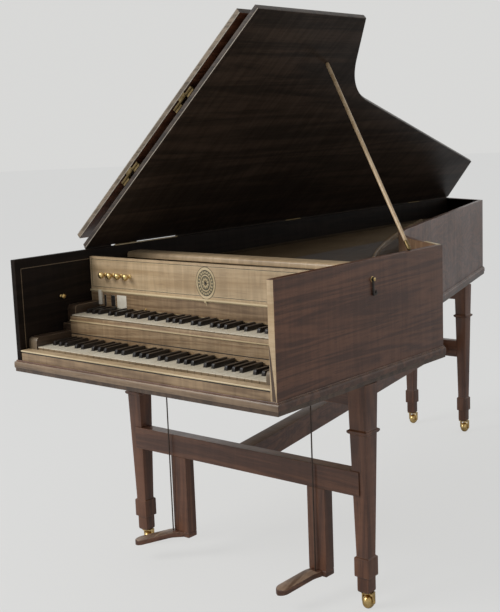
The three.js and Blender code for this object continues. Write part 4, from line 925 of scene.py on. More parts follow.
# %% [markdown]
# Left of the middle the lower board has two slots, drawn as black plates whose black is painted shade, a
# narrow light strip, a square bone tablet and a small brass stud. Strip and tablet stand further out than
# the slots, so the light catches their edges.

# %% Slots, strip and tablet
mesh = bmesh.new()
# The two slots are black plates on the face: painted shade stands in for their depth.
for (x0, x1, z0, z1), thick, finish in (((72, 81, 769, 803), 0.25, 1), ((101, 119, 769, 803), 0.25, 1),
                                        ((53, 66, 774, 817), 0.8, 0), ((127, 166, 765.5, 805), 0.8, 0)):
    y = 273.0 if z1 > BATTEN_LOW else NAMEBOARD_FRONT
    raise_outline(mesh, rectangle(x0, x1, z0, z1), y - thick, 278.2, FRONT, finish)
ease(mesh, 0.25, 2)
turn(mesh, [(0, -3.4), (2.2, -3.2), (3.4, -2.2), (3.8, -0.8), (3.8, 0.2)], (245, NAMEBOARD_FRONT, 770),
     "y", 16, 2)
place_piece("nameboard_labels", mesh, "case", [tablet, dark_line, brass])
print("slots, strip, tablet and stud placed")

# %% [markdown]
# A stop knob is turned from brass rod: a flattened ball to pull by, a thin neck, and a collar that meets
# the board. The lathe profile gives all of it in one curve.

# %% Stop knobs


def knob_profile(radius, reach, behind):
    head = [(radius * math.sin(math.radians(a)), radius * 0.8 * (1 - math.cos(math.radians(a))))
            for a in range(0, 151, 15)]
    return head + [(radius * 0.42, radius * 1.58), (radius * 0.36, radius * 1.9),
                   (radius * 0.40, reach - 4.2),
                   (radius * 0.52, reach - 3.2), (radius * 0.66, reach - 2.2), (radius * 0.70, reach - 1.2),
                   (radius * 0.70, reach - 0.1), (3.0, reach), (3.0, reach + behind), (0, reach + behind)]


KNOB_REACH, KNOB_Z = 26, 863
for i, x in enumerate((83, 117, 151, 185)):
    mesh = bmesh.new()
    turn(mesh, knob_profile(10, KNOB_REACH, 38), (x, NAMEBOARD_FRONT - KNOB_REACH - GAP, KNOB_Z), "y", 28)
    place_piece(f"stop_knob_{i + 1}_turned", mesh, f"stop_knob_{i + 1}", brass, smooth=50,
                stands_for=f"stop_knob_{i + 1}")
mesh = bmesh.new()
reach = 18
turn(mesh, [(r, -h) for r, h in knob_profile(7.5, reach, 12.4)], (SPINE_WALL + reach + GAP, 159, 812), "x",
     28)
place_piece("machine_stop_knob_turned", mesh, "machine_stop_knob", brass, smooth=50,
            stands_for="machine_stop_knob")
print("five knobs turned")

# %% [markdown]
# Sixty-one keys on each manual run from a low F up to the f above the third ledger line. A natural is a
# lime lever with a bone plate on its head and tail and a boxwood front; a sharp is a lever with an ebony
# block. Every tail is as wide as its neighbours leave it, which this cell works out once for all of them.

# %% Key plan
NOTES, NATURAL_COUNT = 61, 36
HALVES = {"bass": range(36), "treble": range(36, NOTES)}
LEFT_BLOCK_WIDTH, RIGHT_BLOCK_WIDTH = 34.6, 37.44
KEYS_LEFT = SPINE_WALL + LEFT_BLOCK_WIDTH
KEYS_RIGHT = WIDTH - CHEEK_WALL - RIGHT_BLOCK_WIDTH
PITCH = (KEYS_RIGHT - KEYS_LEFT) / NATURAL_COUNT
SHARPS = {1: 0.93, 3: 2.0, 5: 3.07, 8: 4.93, 10: 6.07}
NATURALS = [0, 2, 4, 6, 7, 9, 11]
KEY_GAP, SHARP_WIDTH, HEAD = 0.8, 11.0, 40.0


def octave_left(note):
    return KEYS_LEFT + (note // 12) * 7 * PITCH


def is_sharp(note):
    return note % 12 in SHARPS


def sharp_centre(note):
    return octave_left(note) + SHARPS[note % 12] * PITCH


def natural_sides(note):
    left = octave_left(note) + NATURALS.index(note % 12) * PITCH + KEY_GAP / 2
    right = left + PITCH - KEY_GAP
    tail_left, tail_right = left, right
    if note > 0 and is_sharp(note - 1):
        tail_left = sharp_centre(note - 1) + SHARP_WIDTH / 2 + KEY_GAP
    if note < NOTES - 1 and is_sharp(note + 1):
        tail_right = sharp_centre(note + 1) - SHARP_WIDTH / 2 - KEY_GAP
    return left, right, tail_left, tail_right


def lever_centre(note):
    return octave_left(note) + (note % 12 + 0.5) * 7 * PITCH / 12


MANUALS = {
    "lower": {"front": 34, "top": 686, "depth": 22, "tail": 484, "sharp_back": 157, "plate_back": 160,
              "row": 471},
    "upper": {"front": 166, "top": 758, "depth": 17, "tail": 458, "sharp_back": 275, "plate_back": 276,
              "row": 447},
}
print("key pitch", round(PITCH, 3), "mm; keys end at", round(KEYS_RIGHT, 1))

# %% [markdown]
# The plates are cut as one outline, head and tail, with the front edge rounded over. The boxwood front
# below has two arched beads; its darker tone is partly the wood and partly painted shade under the plate's
# lip. On a real key head and tail are two plates that meet so closely that one outline does for both.

# %% Naturals


def natural_plate(mesh, note, manual):
    left, right, tail_left, tail_right = natural_sides(note)
    front, head_back, back = manual["front"], manual["front"] + HEAD, manual["plate_back"]
    outline = [(left, front + 0.2), (right, front + 0.2)]
    outline += [(right, head_back), (tail_right, head_back)] if tail_right < right else []
    outline += [(tail_right, back), (tail_left, back)]
    outline += [(tail_left, head_back), (left, head_back)] if tail_left > left else []
    raise_outline(mesh, outline, manual["top"] - 2.4, manual["top"], PLAN, 0)


def key_front(mesh, note, manual):
    """The front of a natural: a thin boxwood plate with two arched beads, a half ring each."""
    left, right, _, _ = natural_sides(note)
    middle, y, top = (left + right) / 2, manual["front"] + 1.0, manual["top"] - 2.6
    foot = manual["top"] - manual["depth"] + 0.5
    raise_outline(mesh, rectangle(left + 0.3, right - 0.3, foot, top), y, y + 2.2, FRONT, 0)
    for radius, proud in ((8.6, 0.55), (5.6, 0.45)):
        ring = [(middle + radius * math.cos(math.pi * k / 10),
                 foot + 2.0 + radius * math.sin(math.pi * k / 10))
                for k in range(11)]
        ring += [(middle + (radius - 1.2) * math.cos(math.pi * k / 10),
                  foot + 2.0 + (radius - 1.2) * math.sin(math.pi * k / 10)) for k in range(10, -1, -1)]
        raise_outline(mesh, ring, y - proud, y + 0.1, FRONT, 0)


def lever(mesh, note, manual, top):
    if is_sharp(note):
        sides = (sharp_centre(note) - SHARP_WIDTH / 2, sharp_centre(note) + SHARP_WIDTH / 2)
        front = manual["front"] + HEAD + KEY_GAP
        outline = [(sides[0], front), (sides[1], front), (sides[1], manual["tail"]),
                   (sides[0], manual["tail"])]
    else:
        left, right, tail_left, tail_right = natural_sides(note)
        front, head_back = manual["front"] + 3.2, manual["front"] + HEAD
        outline = [(left, front), (right, front)]
        outline += [(right, head_back), (tail_right, head_back)] if tail_right < right else []
        outline += [(tail_right, manual["tail"]), (tail_left, manual["tail"])]
        outline += [(tail_left, head_back), (left, head_back)] if tail_left > left else []
    raise_outline(mesh, outline, manual["top"] - manual["depth"], top, PLAN, 0)


def sharp_block(mesh, note, manual):
    centre = sharp_centre(note)
    front, back, top = manual["front"] + HEAD + KEY_GAP, manual["sharp_back"], manual["top"]
    foot, half_low, half_high = top - 1.0, 5.4, 4.4
    ridge = ((front, foot, half_low), (front + 0.5, top + 5.0, half_low - 0.5),
             (front + 2.2, top + 10.0, half_high), (front + 5.0, top + 12.0, half_high),
             (back, top + 12.0, half_high))
    rows = [[mesh.verts.new(at(centre - half, y, z)), mesh.verts.new(at(centre + half, y, z))]
            for y, z, half in ridge]
    base = [mesh.verts.new(at(centre - half_low, back, foot)),
            mesh.verts.new(at(centre + half_low, back, foot))]
    for (a, b), (c, d) in zip(rows, rows[1:]):
        mesh.faces.new((a, b, d, c))
    mesh.faces.new((rows[-1][0], rows[-1][1], base[1], base[0]))
    mesh.faces.new((rows[0][1], rows[0][0], base[0], base[1]))
    mesh.faces.new([rows[k][0] for k in range(len(rows))] + [base[0]])
    mesh.faces.new([base[1]] + [rows[k][1] for k in range(len(rows) - 1, -1, -1)])


# The key fronts' darker tone is partly their boxwood and partly painted shade under the plates' lip.
key_front_wood_and_shade = wood("key_front_boxwood_and_shade", (0.20, 0.135, 0.07), (0.32, 0.23, 0.135), run="x", figure=0.1,
                  pores=0.2, wear=0.3,
                  wear_colour=(0.5, 0.38, 0.24), stains=0.3)
for level, manual in MANUALS.items():
    for half, notes in HALVES.items():
        body = f"{level}_keys_{half}"
        mesh = bmesh.new()
        for note in notes:
            if not is_sharp(note):
                natural_plate(mesh, note, manual)
        ease(mesh, 0.7, 3, 60)
        place_piece(f"{level}_plates_{half}", mesh, body, bone, stands_for=body)
        mesh = bmesh.new()
        for note in notes:
            if not is_sharp(note):
                key_front(mesh, note, manual)
        ease(mesh, 0.2, 1, 60)
        place_piece(f"{level}_fronts_{half}", mesh, body, key_front_wood_and_shade)
        mesh = bmesh.new()
        for note in notes:
            lever(mesh, note, manual, manual["top"] - (1.1 if is_sharp(note) else 2.5))
        place_piece(f"{level}_levers_{half}", mesh, body, lime_wood)
        mesh = bmesh.new()
        for note in notes:
            if is_sharp(note):
                sharp_block(mesh, note, manual)
        ease(mesh, 0.8, 2, 35)
        place_piece(f"{level}_sharps_{half}", mesh, body, ebony)
print("keys:", sum(not is_sharp(n) for n in range(NOTES)), "naturals and", sum(map(is_sharp, range(NOTES))),
      "sharps a manual")

# %% [markdown]
# Each manual lies in a frame. The upper one shows the most: moulded end blocks and a pale front rail with
# a light bead, which hides the fronts of its levers. The lower frame shows its two end blocks. The blocks'
# mahogany is darkened as painted shade, and their pale arrises are partly wear and partly painted highlight.

# %% Key frames
LEFT_BLOCK, RIGHT_BLOCK = (X_LEFT, KEYS_LEFT - KEY_GAP), (KEYS_RIGHT + KEY_GAP, X_RIGHT)
rail_wood = wood("front_rail_veneer", (0.30, 0.19, 0.10), (0.52, 0.37, 0.22), run="x", figure=0.4, bands=8,
                 wear=0.3,
                 wear_colour=(0.65, 0.5, 0.33), stains=0.4)


def end_block(mesh, sides, front, back, bottom, top):
    """A block with a rounded front and a small step along its top, drawn in side view."""
    nose = [(front, bottom), (back, bottom), (back, top), (front + 12, top), (front + 7.5, top - 1.0),
            (front + 3.5, top - 4.0), (front + 1.0, top - 8.5), (front, top - 14)]
    raise_outline(mesh, nose, sides[0], sides[1], SIDE)


# End blocks and rails: mahogany darkened as painted shade; the strong pale arrises are partly wear and partly
# painted highlight.
block_painted_light_and_wear = wood("end_block_painted_light_and_wear", (0.040, 0.024, 0.014), (0.085, 0.052, 0.032), run="y", figure=0.2,
                  coat=0.05, wear=0.9,
                  wear_colour=(0.36, 0.26, 0.17))
front_banding = wood("block_front_banding", (0.10, 0.07, 0.042), (0.24, 0.18, 0.115), run="z", figure=0.1,
                     bands=6, wear=0.3)
mesh = bmesh.new()
for sides in (LEFT_BLOCK, RIGHT_BLOCK):
    end_block(mesh, sides, 31, 500, WALL_FOOT, 712)
ease(mesh, 0.9, 2, 40)
for face in mesh.faces:
    if abs(face.normal.x) < 0.5 and face.normal.y < -0.5:
        face.material_index = 1
raise_outline(mesh, rectangle(34, 74, WALL_FOOT, WALL_FOOT + 12), X_LEFT, X_RIGHT, SIDE)
raise_outline(mesh, [(235, WALL_FOOT), (265, WALL_FOOT), (265, 652), (252.5, 663.7), (247.5, 663.7),
                     (235, 652)],
              X_LEFT, X_RIGHT, SIDE)
raise_outline(mesh, rectangle(458, 484, WALL_FOOT, 663.7), X_LEFT, X_RIGHT, SIDE)
place_piece("lower_frame_joinery", mesh, "case", [block_painted_light_and_wear, front_banding],
            stands_for="lower_key_frame")
mesh = bmesh.new()
for sides in (LEFT_BLOCK, RIGHT_BLOCK):
    raise_outline(mesh, rectangle(160.5, 458, 712.3, 732.3), sides[0], sides[1], SIDE)
    end_block(mesh, sides, 181, 277.7, 712.3, 783)
for face in mesh.faces:
    face.material_index = 1
rail = [(160.5, 690), (180.5, 690), (180.5, 733), (164.5, 733), (164.5, 754), (160.5, 754), (160.5, 746),
        (158.4, 745.8),
        (157.0, 744.7), (156.6, 743.0), (157.0, 741.3), (158.4, 740.2), (160.5, 740)]
raise_outline(mesh, rail, KEYS_LEFT, KEYS_RIGHT, SIDE)
ease(mesh, 0.5, 2, 50)
raise_outline(mesh, [(285, 712.3), (315, 712.3), (315, 726), (302.5, 740.7), (297.5, 740.7), (285, 726)],
              X_LEFT, X_RIGHT,
              SIDE)
raise_outline(mesh, rectangle(432, 458, 712.3, 740.7), X_LEFT, X_RIGHT, SIDE)
place_piece("upper_frame_joinery", mesh, "case", [rail_wood, block_painted_light_and_wear],
            stands_for="upper_key_frame")
slips("upper_rail_line", [(KEYS_LEFT, KEYS_RIGHT, 156.3, 158.5, 741.4, 744.6)], "case", pale_line,
      0.3)
slips("upper_rail_shadow_line", [(KEYS_LEFT, KEYS_RIGHT, 160.2, 162, 703, 705.5)], "case", dark_line)
print("frames joined")

# %% [markdown]
# Inside, from the nameboard back: the wrestplank with its tuning pins and the nut, the gap with two rows of
# jacks under the jack rail, then the soundboard with its bridge. A string leaves its pin, crosses the nut
# and the bridge parallel to the spine and ends on a hitch pin by the bentside.

# %% Wrestplank, nut, bridge and jack rail
STRING_TOP = 864.6
plank_wood = wood("plank_veneer", (0.48, 0.35, 0.19), (0.70, 0.55, 0.34), run="x", figure=0.15, bands=14,
                  pores=0.15,
                  wear=0.2, stains=0.4)
BRIDGE_TREBLE_X, BRIDGE_BASS_X = 887.0, 46.0
mesh = bmesh.new()
raise_outline(mesh, [(290.3, 802), (428, 802), (428, 848.6), (426.6, 850), (291.2, 850), (290.3, 849.1)],
              X_LEFT, X_RIGHT, SIDE)
for x in (X_LEFT, X_RIGHT - 20):
    raise_outline(mesh, rectangle(x, x + 20, 427, 507.7), 802, 837.7)
place_piece("wrestplank_veneered", mesh, "case", plank_wood, stands_for="wrestplank")
mesh = bmesh.new()
nut_section = [(346, 850.3), (358, 850.3), (358, 853), (354.5, 861.5), (353, 864), (350.6, 864), (346.6, 861),
               (346, 858)]
raise_outline(mesh, nut_section, X_LEFT + 24, X_RIGHT - 24, SIDE)
ease(mesh, 0.5, 2, 25)
place_piece("nut_moulded", mesh, "case", pear_wood, stands_for="nut")
bend_middle = bend(inner_sides, BENT_WALL)[CURVE_STEPS // 2]
BRIDGE = (Vector((BRIDGE_TREBLE_X, 544)), Vector((bend_middle.x - 150, bend_middle.y - 75)),
          Vector((BRIDGE_BASS_X, 2132)))


def bridge_at(t):
    a, b, c = BRIDGE
    return a * (1 - t) ** 2 + b * 2 * t * (1 - t) + c * t * t


def bridge_slope(t):
    a, b, c = BRIDGE
    return ((b - a) * (1 - t) + (c - b) * t).normalized()


rings = []
for step in range(61):
    t = step / 60
    p, d = bridge_at(t), bridge_slope(t)
    side = Vector((d.y, -d.x))
    rings.append([at(*(p + side * u), z) for u, z in ((-6.5, 850.3), (6.5, 850.3), (6.5, 853), (4.2, 862.6),
                                                      (1.8, 865),
                                                     (-2.2, 865), (-4.6, 863.4), (-6.5, 857))])
mesh = bmesh.new()
rings_to_skin(mesh, rings)
ease(mesh, 0.5, 2, 25)
place_piece("bridge_moulded", mesh, "case", pear_wood, stands_for="bridge")
mesh = bmesh.new()
rail_section = [(434, 895.5), (435.5, 894), (500.5, 894), (502, 895.5), (502, 905), (500.5, 908.5),
                (497, 911), (492, 912),
                (444, 912), (439, 911), (435.5, 908.5), (434, 905)]
raise_outline(mesh, rail_section, X_LEFT, X_RIGHT, SIDE)
raise_outline(mesh, rectangle(450, 488, 893.4, 894.2), X_LEFT + 2, X_RIGHT - 2, SIDE, 1)
place_piece("jack_rail_moulded", mesh, "case", [veneer_wood, red_cloth], stands_for="jack_rail")


def soundboard_edge(inset, cheek_inset):
    """A line along cheek, bentside and tail, moved in from the outer faces."""
    sides = side_lines(cheek_inset, inset, inset, HITCH_OUTER, 0)
    return [meet(sides["cheek"], sides["bent_front"]), *bend(sides, inset),
            meet(sides["bent_tail"], sides["tail"]), meet(sides["tail"], sides["spine"])]


HITCH_OUTER, HITCH_INNER = 17.4, 36.0
outer_edge, inner_edge = soundboard_edge(HITCH_OUTER, 20.1), soundboard_edge(HITCH_INNER, 38.0)
mesh = bmesh.new()
raise_outline(mesh, [tuple(p) for p in outer_edge] + [tuple(p) for p in reversed(inner_edge)], 849.9, 855)
ease(mesh, 1.5, 2, 60)
place_piece("hitchpin_moulding", mesh, "case", pear_wood)
print("bridge from x", BRIDGE_TREBLE_X, "to", BRIDGE_BASS_X)

# %% [markdown]
# Jacks are slips of pearwood, one to a key in each row. Each has a rounded top, a slot for the tongue and
# red cloth flags that damp its strings.

# %% Jacks
for level, manual in MANUALS.items():
    for half, notes in HALVES.items():
        body = f"{level}_jacks_{half}"
        mesh = bmesh.new()
        foot, row = manual["top"] + 0.5, manual["row"]
        outline = [(row - 6, foot), (row + 6, foot), (row + 6, 882), (row + 4.6, 884.6), (row + 1.8, 885),
                   (row + 1.6, 866),
                   (row - 1.6, 866), (row - 1.8, 885), (row - 4.6, 884.6), (row - 6, 882)]
        tongue = rectangle(row - 1.2, row + 1.2, 865.5, 883)
        for note in notes:
            x = lever_centre(note)
            raise_outline(mesh, outline, x - 1.8, x + 1.8, SIDE)
            raise_outline(mesh, tongue, x - 1.5, x + 1.5, SIDE)
            raise_outline(mesh, rectangle(row + 3.0, row + 5.6, 867.5, 879), x - 5.8, x + 5.8, SIDE, 1)
        place_piece(f"{level}_jack_row_{half}", mesh, body, [pear_wood, red_cloth],
                    stands_for=body)
print("jacks:", 2 * NOTES)

# %% [markdown]
# Each note has two strings, one on either side of its jacks. The thin wire is a four-sided prism that
# bends over nut and bridge. The lower notes are brass and the upper ones steel. Each string has a tuning
# pin, a pin on the nut, one on the bridge and a hitch pin, all turned from a few points.

# %% Strings and pins


def wire(mesh, points, radius, finish):
    rings = [[Vector(p) + Vector((dx, 0, dz)) * radius * MM for dx, dz in ((1, 0), (0, 1), (-1, 0), (0, -1))]
             for p in points]
    rings_to_skin(mesh, rings, finish=finish)


def bridge_share(x):
    low, high = 0.0, 1.0
    for _ in range(30):
        middle = (low + high) / 2
        low, high = (middle, high) if bridge_at(middle).x > x else (low, middle)
    return (low + high) / 2


def wall_at(x):
    for p, q in zip(inner_edge, inner_edge[1:]):
        if q.x <= x <= p.x and p.x != q.x:
            return p.y + (q.y - p.y) * (x - p.x) / (q.x - p.x)
    return inner_edge[0].y


STRING_OFFSET, BRASS_NOTES, BRASS_RADIUS, STEEL_RADIUS = 5.4, 24, 0.34, 0.24
wires, pins, small_pins = bmesh.new(), bmesh.new(), bmesh.new()
for note in range(NOTES):
    radius, finish = (BRASS_RADIUS, 0) if note < BRASS_NOTES else (STEEL_RADIUS, 1)
    for choir, offset in ((0, -STRING_OFFSET), (1, STRING_OFFSET)):
        x = lever_centre(note) + offset
        pin_y = 302 + 18 * choir + 8 * (note % 2)
        turn(pins, [(0.2, 849), (2.1, 849), (2.3, 860), (2.5, 880), (2.2, 881), (0.2, 881)], (x, pin_y, 0),
             sides=8)
        crossing = bridge_at(bridge_share(x))
        hitch_y = max(wall_at(x) + 9, crossing.y + 25)
        wire(wires, [at(x, pin_y + 2.2, 861), at(x, 351.8, STRING_TOP), at(x, crossing.y, 865.6),
                     at(x, hitch_y, 857)], radius, finish)
        for y, top in ((352.6, 867), (crossing.y - 1.5, 868)):
            turn(small_pins, [(0.1, top - 6), (0.55, top - 6), (0.5, top), (0.1, top)], (x + 0.9, y, 0),
                 sides=6)
        turn(small_pins, [(0.1, 850.5), (0.8, 850.5), (0.8, 859), (0.1, 859)], (x, hitch_y, 0), sides=6)
place_piece("strings", wires, "case", [brass_wire, steel_wire], smooth=60)
place_piece("tuning_pins", pins, "case", iron, smooth=50)
place_piece("bridge_and_hitch_pins", small_pins, "case", brass, smooth=60)
print("strings:", 2 * NOTES)

# %% [markdown]
# The lid is drawn closed, in a frame whose x runs from the hinge pin over the board and whose z is its
# thickness, and is then turned up by its angle. Its edge is rounded above and below, with a small step
# between, and a thin pale strip along its front is a painted highlight on that arris.

# %% Lid
LID_ANGLE, HINGE_OFFSET, FLAP_DEPTH = math.radians(42), 3.5, 280.0
FOLD_BACK = 2 * FLAP_DEPTH


def on_lid(a, y, n):
    """A point on the lid: a mm from the hinge pin, y mm behind the front, n mm above its inner face."""
    c, s = math.cos(LID_ANGLE), math.sin(LID_ANGLE)
    return at(-HINGE_OFFSET + a * c - n * s, y, TOP + a * s + n * c)


lid_dark = wood("lid_inner_polish", (0.034, 0.025, 0.019), (0.078, 0.053, 0.038), run="y", figure=0.5,
                bands=4, pores=0.3,
                rough=(0.30, 0.46), coat=0.0, specular=0.05, wear=0.25, wear_colour=(0.16, 0.11, 0.08),
                stains=0.4,
                bump=0.15)
lid_edge = wood("lid_edge_polish", (0.022, 0.014, 0.010), (0.075, 0.050, 0.034), run="x", figure=0.35,
                bands=9, rough=(0.4, 0.55),
                coat=0.0, wear=0.35, wear_colour=(0.30, 0.21, 0.14), stains=0.4)
flap_banding = wood("flap_edge_banding", (0.12, 0.09, 0.06), (0.31, 0.24, 0.17), run="x", figure=0.2, bands=6,
                    coat=0.05, wear=0.4,
                    wear_colour=(0.7, 0.6, 0.45), stains=0.4)
# Pale strips along the lid's and flap's front edges: painted highlights on their arrises.
painted_arris_highlight = plain_material("painted_arris_highlight", (0.26, 0.22, 0.17), (0.42, 0.37, 0.30), 60, (0.32, 0.5),
                             bump=0.05,
                             coat=0.2)


def lid_ring(inset, height):
    return [on_lid(x + HINGE_OFFSET, y, height) for x, y in
            plan(inset, front=FLAP_DEPTH + inset, spine=GAP + inset * 0.6, over_bent=8, over_tail=9)]


mesh = bmesh.new()
profile = [(5.0, 0.0), (1.4, 0.0), (0.5, 0.25), (0.1, 0.9), (0.1, 2.6), (0.0, 3.4), (0.0, 12.0), (0.4, 13.8),
           (1.4, 15.2),
           (3.0, 15.9), (5.0, 16.0)]
rows = [[mesh.verts.new(p) for p in lid_ring(inset, height)] for inset, height in profile]
for k, (low, high) in enumerate(zip(rows, rows[1:])):
    for i in range(len(low)):
        j = (i + 1) % len(low)
        mesh.faces.new((low[i], low[j], high[j], high[i])).material_index = 0 if k < 1 else 1
mesh.faces.new(rows[0][::-1]).material_index = 0
mesh.faces.new(rows[-1]).material_index = 2
lid_board = place_piece("lid_board", mesh, "lid", [lid_dark, lid_edge, case_wood],
                        stands_for="lid")
mesh = bmesh.new()
front_line = [(0.4, 0.45), (0.05, 1.0), (0.05, 3.0), (0.45, 3.4), (3.0, 2.0)]
rings = []
for a in (HINGE_OFFSET + 2, WIDTH + HINGE_OFFSET - 0.6):
    rings.append([on_lid(a, FLAP_DEPTH + y, n) for y, n in front_line])
rings_to_skin(mesh, rings)
place_piece("lid_front_painted_highlight", mesh, "lid", painted_arris_highlight)
print("lid board of", len(lid_board.data.polygons), "faces")

# %% [markdown]
# The flap is folded back over the lid, so its inner face now looks up and away from the lid. Two thin pale
# strips along its front edge are painted highlights on its arrises, with a banded strip between them. The
# face turned to the lid is its outside and is mahogany; unfolded, it continues the lid's own outside.

# %% Folded flap
FLAP_LEFT, FLAP_RIGHT, FLAP_LOW, FLAP_HIGH, PIN = 5.5, 896.5, 37.0, 53.0, 26.5
mesh = bmesh.new()
section = [(280.4, 1.2), (281.2, 0.2), (282.6, 0), (557.4, 0), (559.2, 0.8), (560.0, 2.4), (560.0, 13.6),
           (559.2, 15.2), (557.4, 16), (282.6, 16), (281.2, 15.8), (280.4, 14.8)]
FLAP_THICK, FLAP_CLEAR = 16, 0.3


def flap_ring(a, side):
    """The flap's section at a, drawn in by side where it comes nearer than that to a face."""
    return [on_lid(a, min(max(y, FLAP_DEPTH + FLAP_CLEAR + side), FOLD_BACK - side),
                   FLAP_LOW + min(max(n, side), FLAP_THICK - side)) for y, n in section]


rings_to_skin(mesh, [flap_ring(a, side) for a, side in (
    (FLAP_LEFT, 0.9), (FLAP_LEFT + 0.3, 0.25), (FLAP_LEFT + 1.0, 0),
    (FLAP_RIGHT - 1.0, 0), (FLAP_RIGHT - 0.3, 0.25), (FLAP_RIGHT, 0.9))])
outwards = Vector((-math.sin(LID_ANGLE), 0, math.cos(LID_ANGLE)))
for face in mesh.faces:
    if (face.calc_center_median() - on_lid(0, 0, FLAP_LOW)).dot(outwards) < 0.3 * MM:
        face.material_index = 1
place_piece("lid_flap_board", mesh, "lid_flap", [lid_edge, case_wood], stands_for="lid_flap")
mesh = bmesh.new()
for low, high in ((FLAP_LOW + 0.9, FLAP_LOW + 2.9), (FLAP_HIGH - 2.9, FLAP_HIGH - 0.9)):
    rings_to_skin(mesh, [[on_lid(a, y, n) for y, n in ((280.2, low), (280.2, high), (282, high), (282, low))]
                         for a in (FLAP_LEFT + 0.8, FLAP_RIGHT - 0.8)])
place_piece("lid_flap_painted_highlights", mesh, "lid_flap", painted_arris_highlight)
mesh = bmesh.new()
rings_to_skin(mesh, [[on_lid(a, y, FLAP_LOW + n) for y,
                      n in ((280.2, 3.2), (280.2, 12.8), (282, 12.8), (282, 3.2))]
                     for a in (FLAP_LEFT + 0.9, FLAP_RIGHT - 0.9)])
place_piece("lid_flap_band", mesh, "lid_flap", flap_banding)
print("flap folded back")

# %% [markdown]
# Hinges are knuckles on a pin: two of the three knuckles belong to the fixed leaf and the middle one to the
# moving leaf. The leaves are plates, and on the spine flat screw heads show.

# %% Spine hinges


def circle_point(side, up, share):
    """A point of the unit circle that side and up span, at a share of a full turn."""
    return side * math.cos(math.tau * share) + up * math.sin(math.tau * share)


def knuckle(mesh, place, start, end, radius):
    """A closed barrel between two points in millimetres, its rims a little rounded."""
    rings = []
    start, end = Vector(start), Vector(end)
    axis = (end - start).normalized()
    side = axis.orthogonal().normalized()
    up = axis.cross(side)
    for share, size in ((0.0, 0.82), (0.02, 1.0), (0.98, 1.0), (1.0, 0.82)):
        middle = start.lerp(end, share)
        rings.append([place(*(middle + circle_point(side, up, k / 16) * radius * size)) for k in range(16)])
    rings_to_skin(mesh, rings)


def screw_head(mesh, centre, out):
    """A flat screw head, set on a surface that faces along out."""
    out = Vector(out).normalized()
    side = out.orthogonal().normalized()
    up = out.cross(side)
    rings = []
    for rise, size in ((-0.4, 1.0), (0.15, 1.0), (0.4, 0.8), (0.4, 0.02)):
        middle = Vector(centre) + out * rise
        rings.append([at(*(middle + circle_point(side, up,
                                                 k / 14) * SCREW_RADIUS * size)) for k in range(14)])
    rings_to_skin(mesh, rings)


SCREW_RADIUS, KNUCKLE_RADIUS, PIN_RADIUS = 3.2, 3.0, 1.2
KNUCKLE_STEP, HALF_KNUCKLE, HALF_PIN, HALF_LEAF = 30, 14.7, 44.8, 45
HINGE_PLACES = [share * SPINE_LENGTH for share in (0.1854, 0.5355, 0.8855)]
case_leaves, lid_leaves = bmesh.new(), bmesh.new()
for middle in HINGE_PLACES:
    raise_outline(case_leaves, [(-1.8, 886.7), (0.2, 886.7), (0.2, 931.7), (-1.8, 931.7)],
                  middle - HALF_LEAF, middle + HALF_LEAF, FRONT)
    for side in (-KNUCKLE_STEP, KNUCKLE_STEP):
        low, high = middle + side - HALF_KNUCKLE, middle + side + HALF_KNUCKLE
        knuckle(case_leaves, at, (-HINGE_OFFSET, low, TOP), (-HINGE_OFFSET, high, TOP), KNUCKLE_RADIUS)
        raise_outline(case_leaves, [(-1.8, 930), (0.2, 930), (0.2, TOP - 0.3), (-2.2, TOP - 0.3)], low, high,
                      FRONT)
    for side, rise in ((-33, 0), (-11, 12), (11, 12), (33, 0)):
        screw_head(case_leaves, (-1.8, middle + side, 896 + rise), (-1, 0, 0))
    knuckle(case_leaves, at, (-HINGE_OFFSET, middle - HALF_PIN, TOP), (-HINGE_OFFSET, middle + HALF_PIN, TOP),
            PIN_RADIUS)
    low, high = middle - HALF_KNUCKLE, middle + HALF_KNUCKLE
    knuckle(lid_leaves, at, (-HINGE_OFFSET, low, TOP), (-HINGE_OFFSET, high, TOP), KNUCKLE_RADIUS)
    rings_to_skin(lid_leaves, [[on_lid(a, y, n) for a,
                                n in ((2.0, 0.2), (4.1, 0.2), (4.1, 15.6), (2.0, 15.6))]
                               for y in (low, high)])
place_piece("spine_hinge_leaves", case_leaves, "case", dull_brass, smooth=40)
place_piece("lid_hinge_leaves", lid_leaves, "lid", dull_brass, smooth=40)
print("hinges on the spine:", len(HINGE_PLACES))

# %% [markdown]
# The lid clears the spine's rim by a narrow gap. The photograph shows light through it for one length only,
# so elsewhere a thin lip under the lid's hinge edge closes it. The lip stops short of each hinge.

# %% Lip over the spine's rim
lip = bmesh.new()
lip_section = [(4.4, 0.3), (4.4, 6.0), (2.2, 6.0), (0.9, 4.9), (0.6, 3.8), (0.6, -1.0), (1.2, -2.2),
               (2.2, -2.6), (3.0, -1.6),
               (3.38, 0.0)]
for y0, y1 in ((281, 385), (672, 1254.5), (1346, 2104.5), (2195.5, SPINE_LENGTH - 1)):
    rings_to_skin(lip, [[on_lid(a, y, n) for a, n in lip_section] for y in (y0, y1)])
place_piece("lid_spine_lip", lip, "lid", lid_dark)
print("lip section of", len(lip_section), "points")

# %% [markdown]
# The flap folds right over and lies parallel to the lid, a little above it, so its hinges stand on raised
# ears between the two boards. Ears of lid and flap share one pin, as the leaves on the spine do.

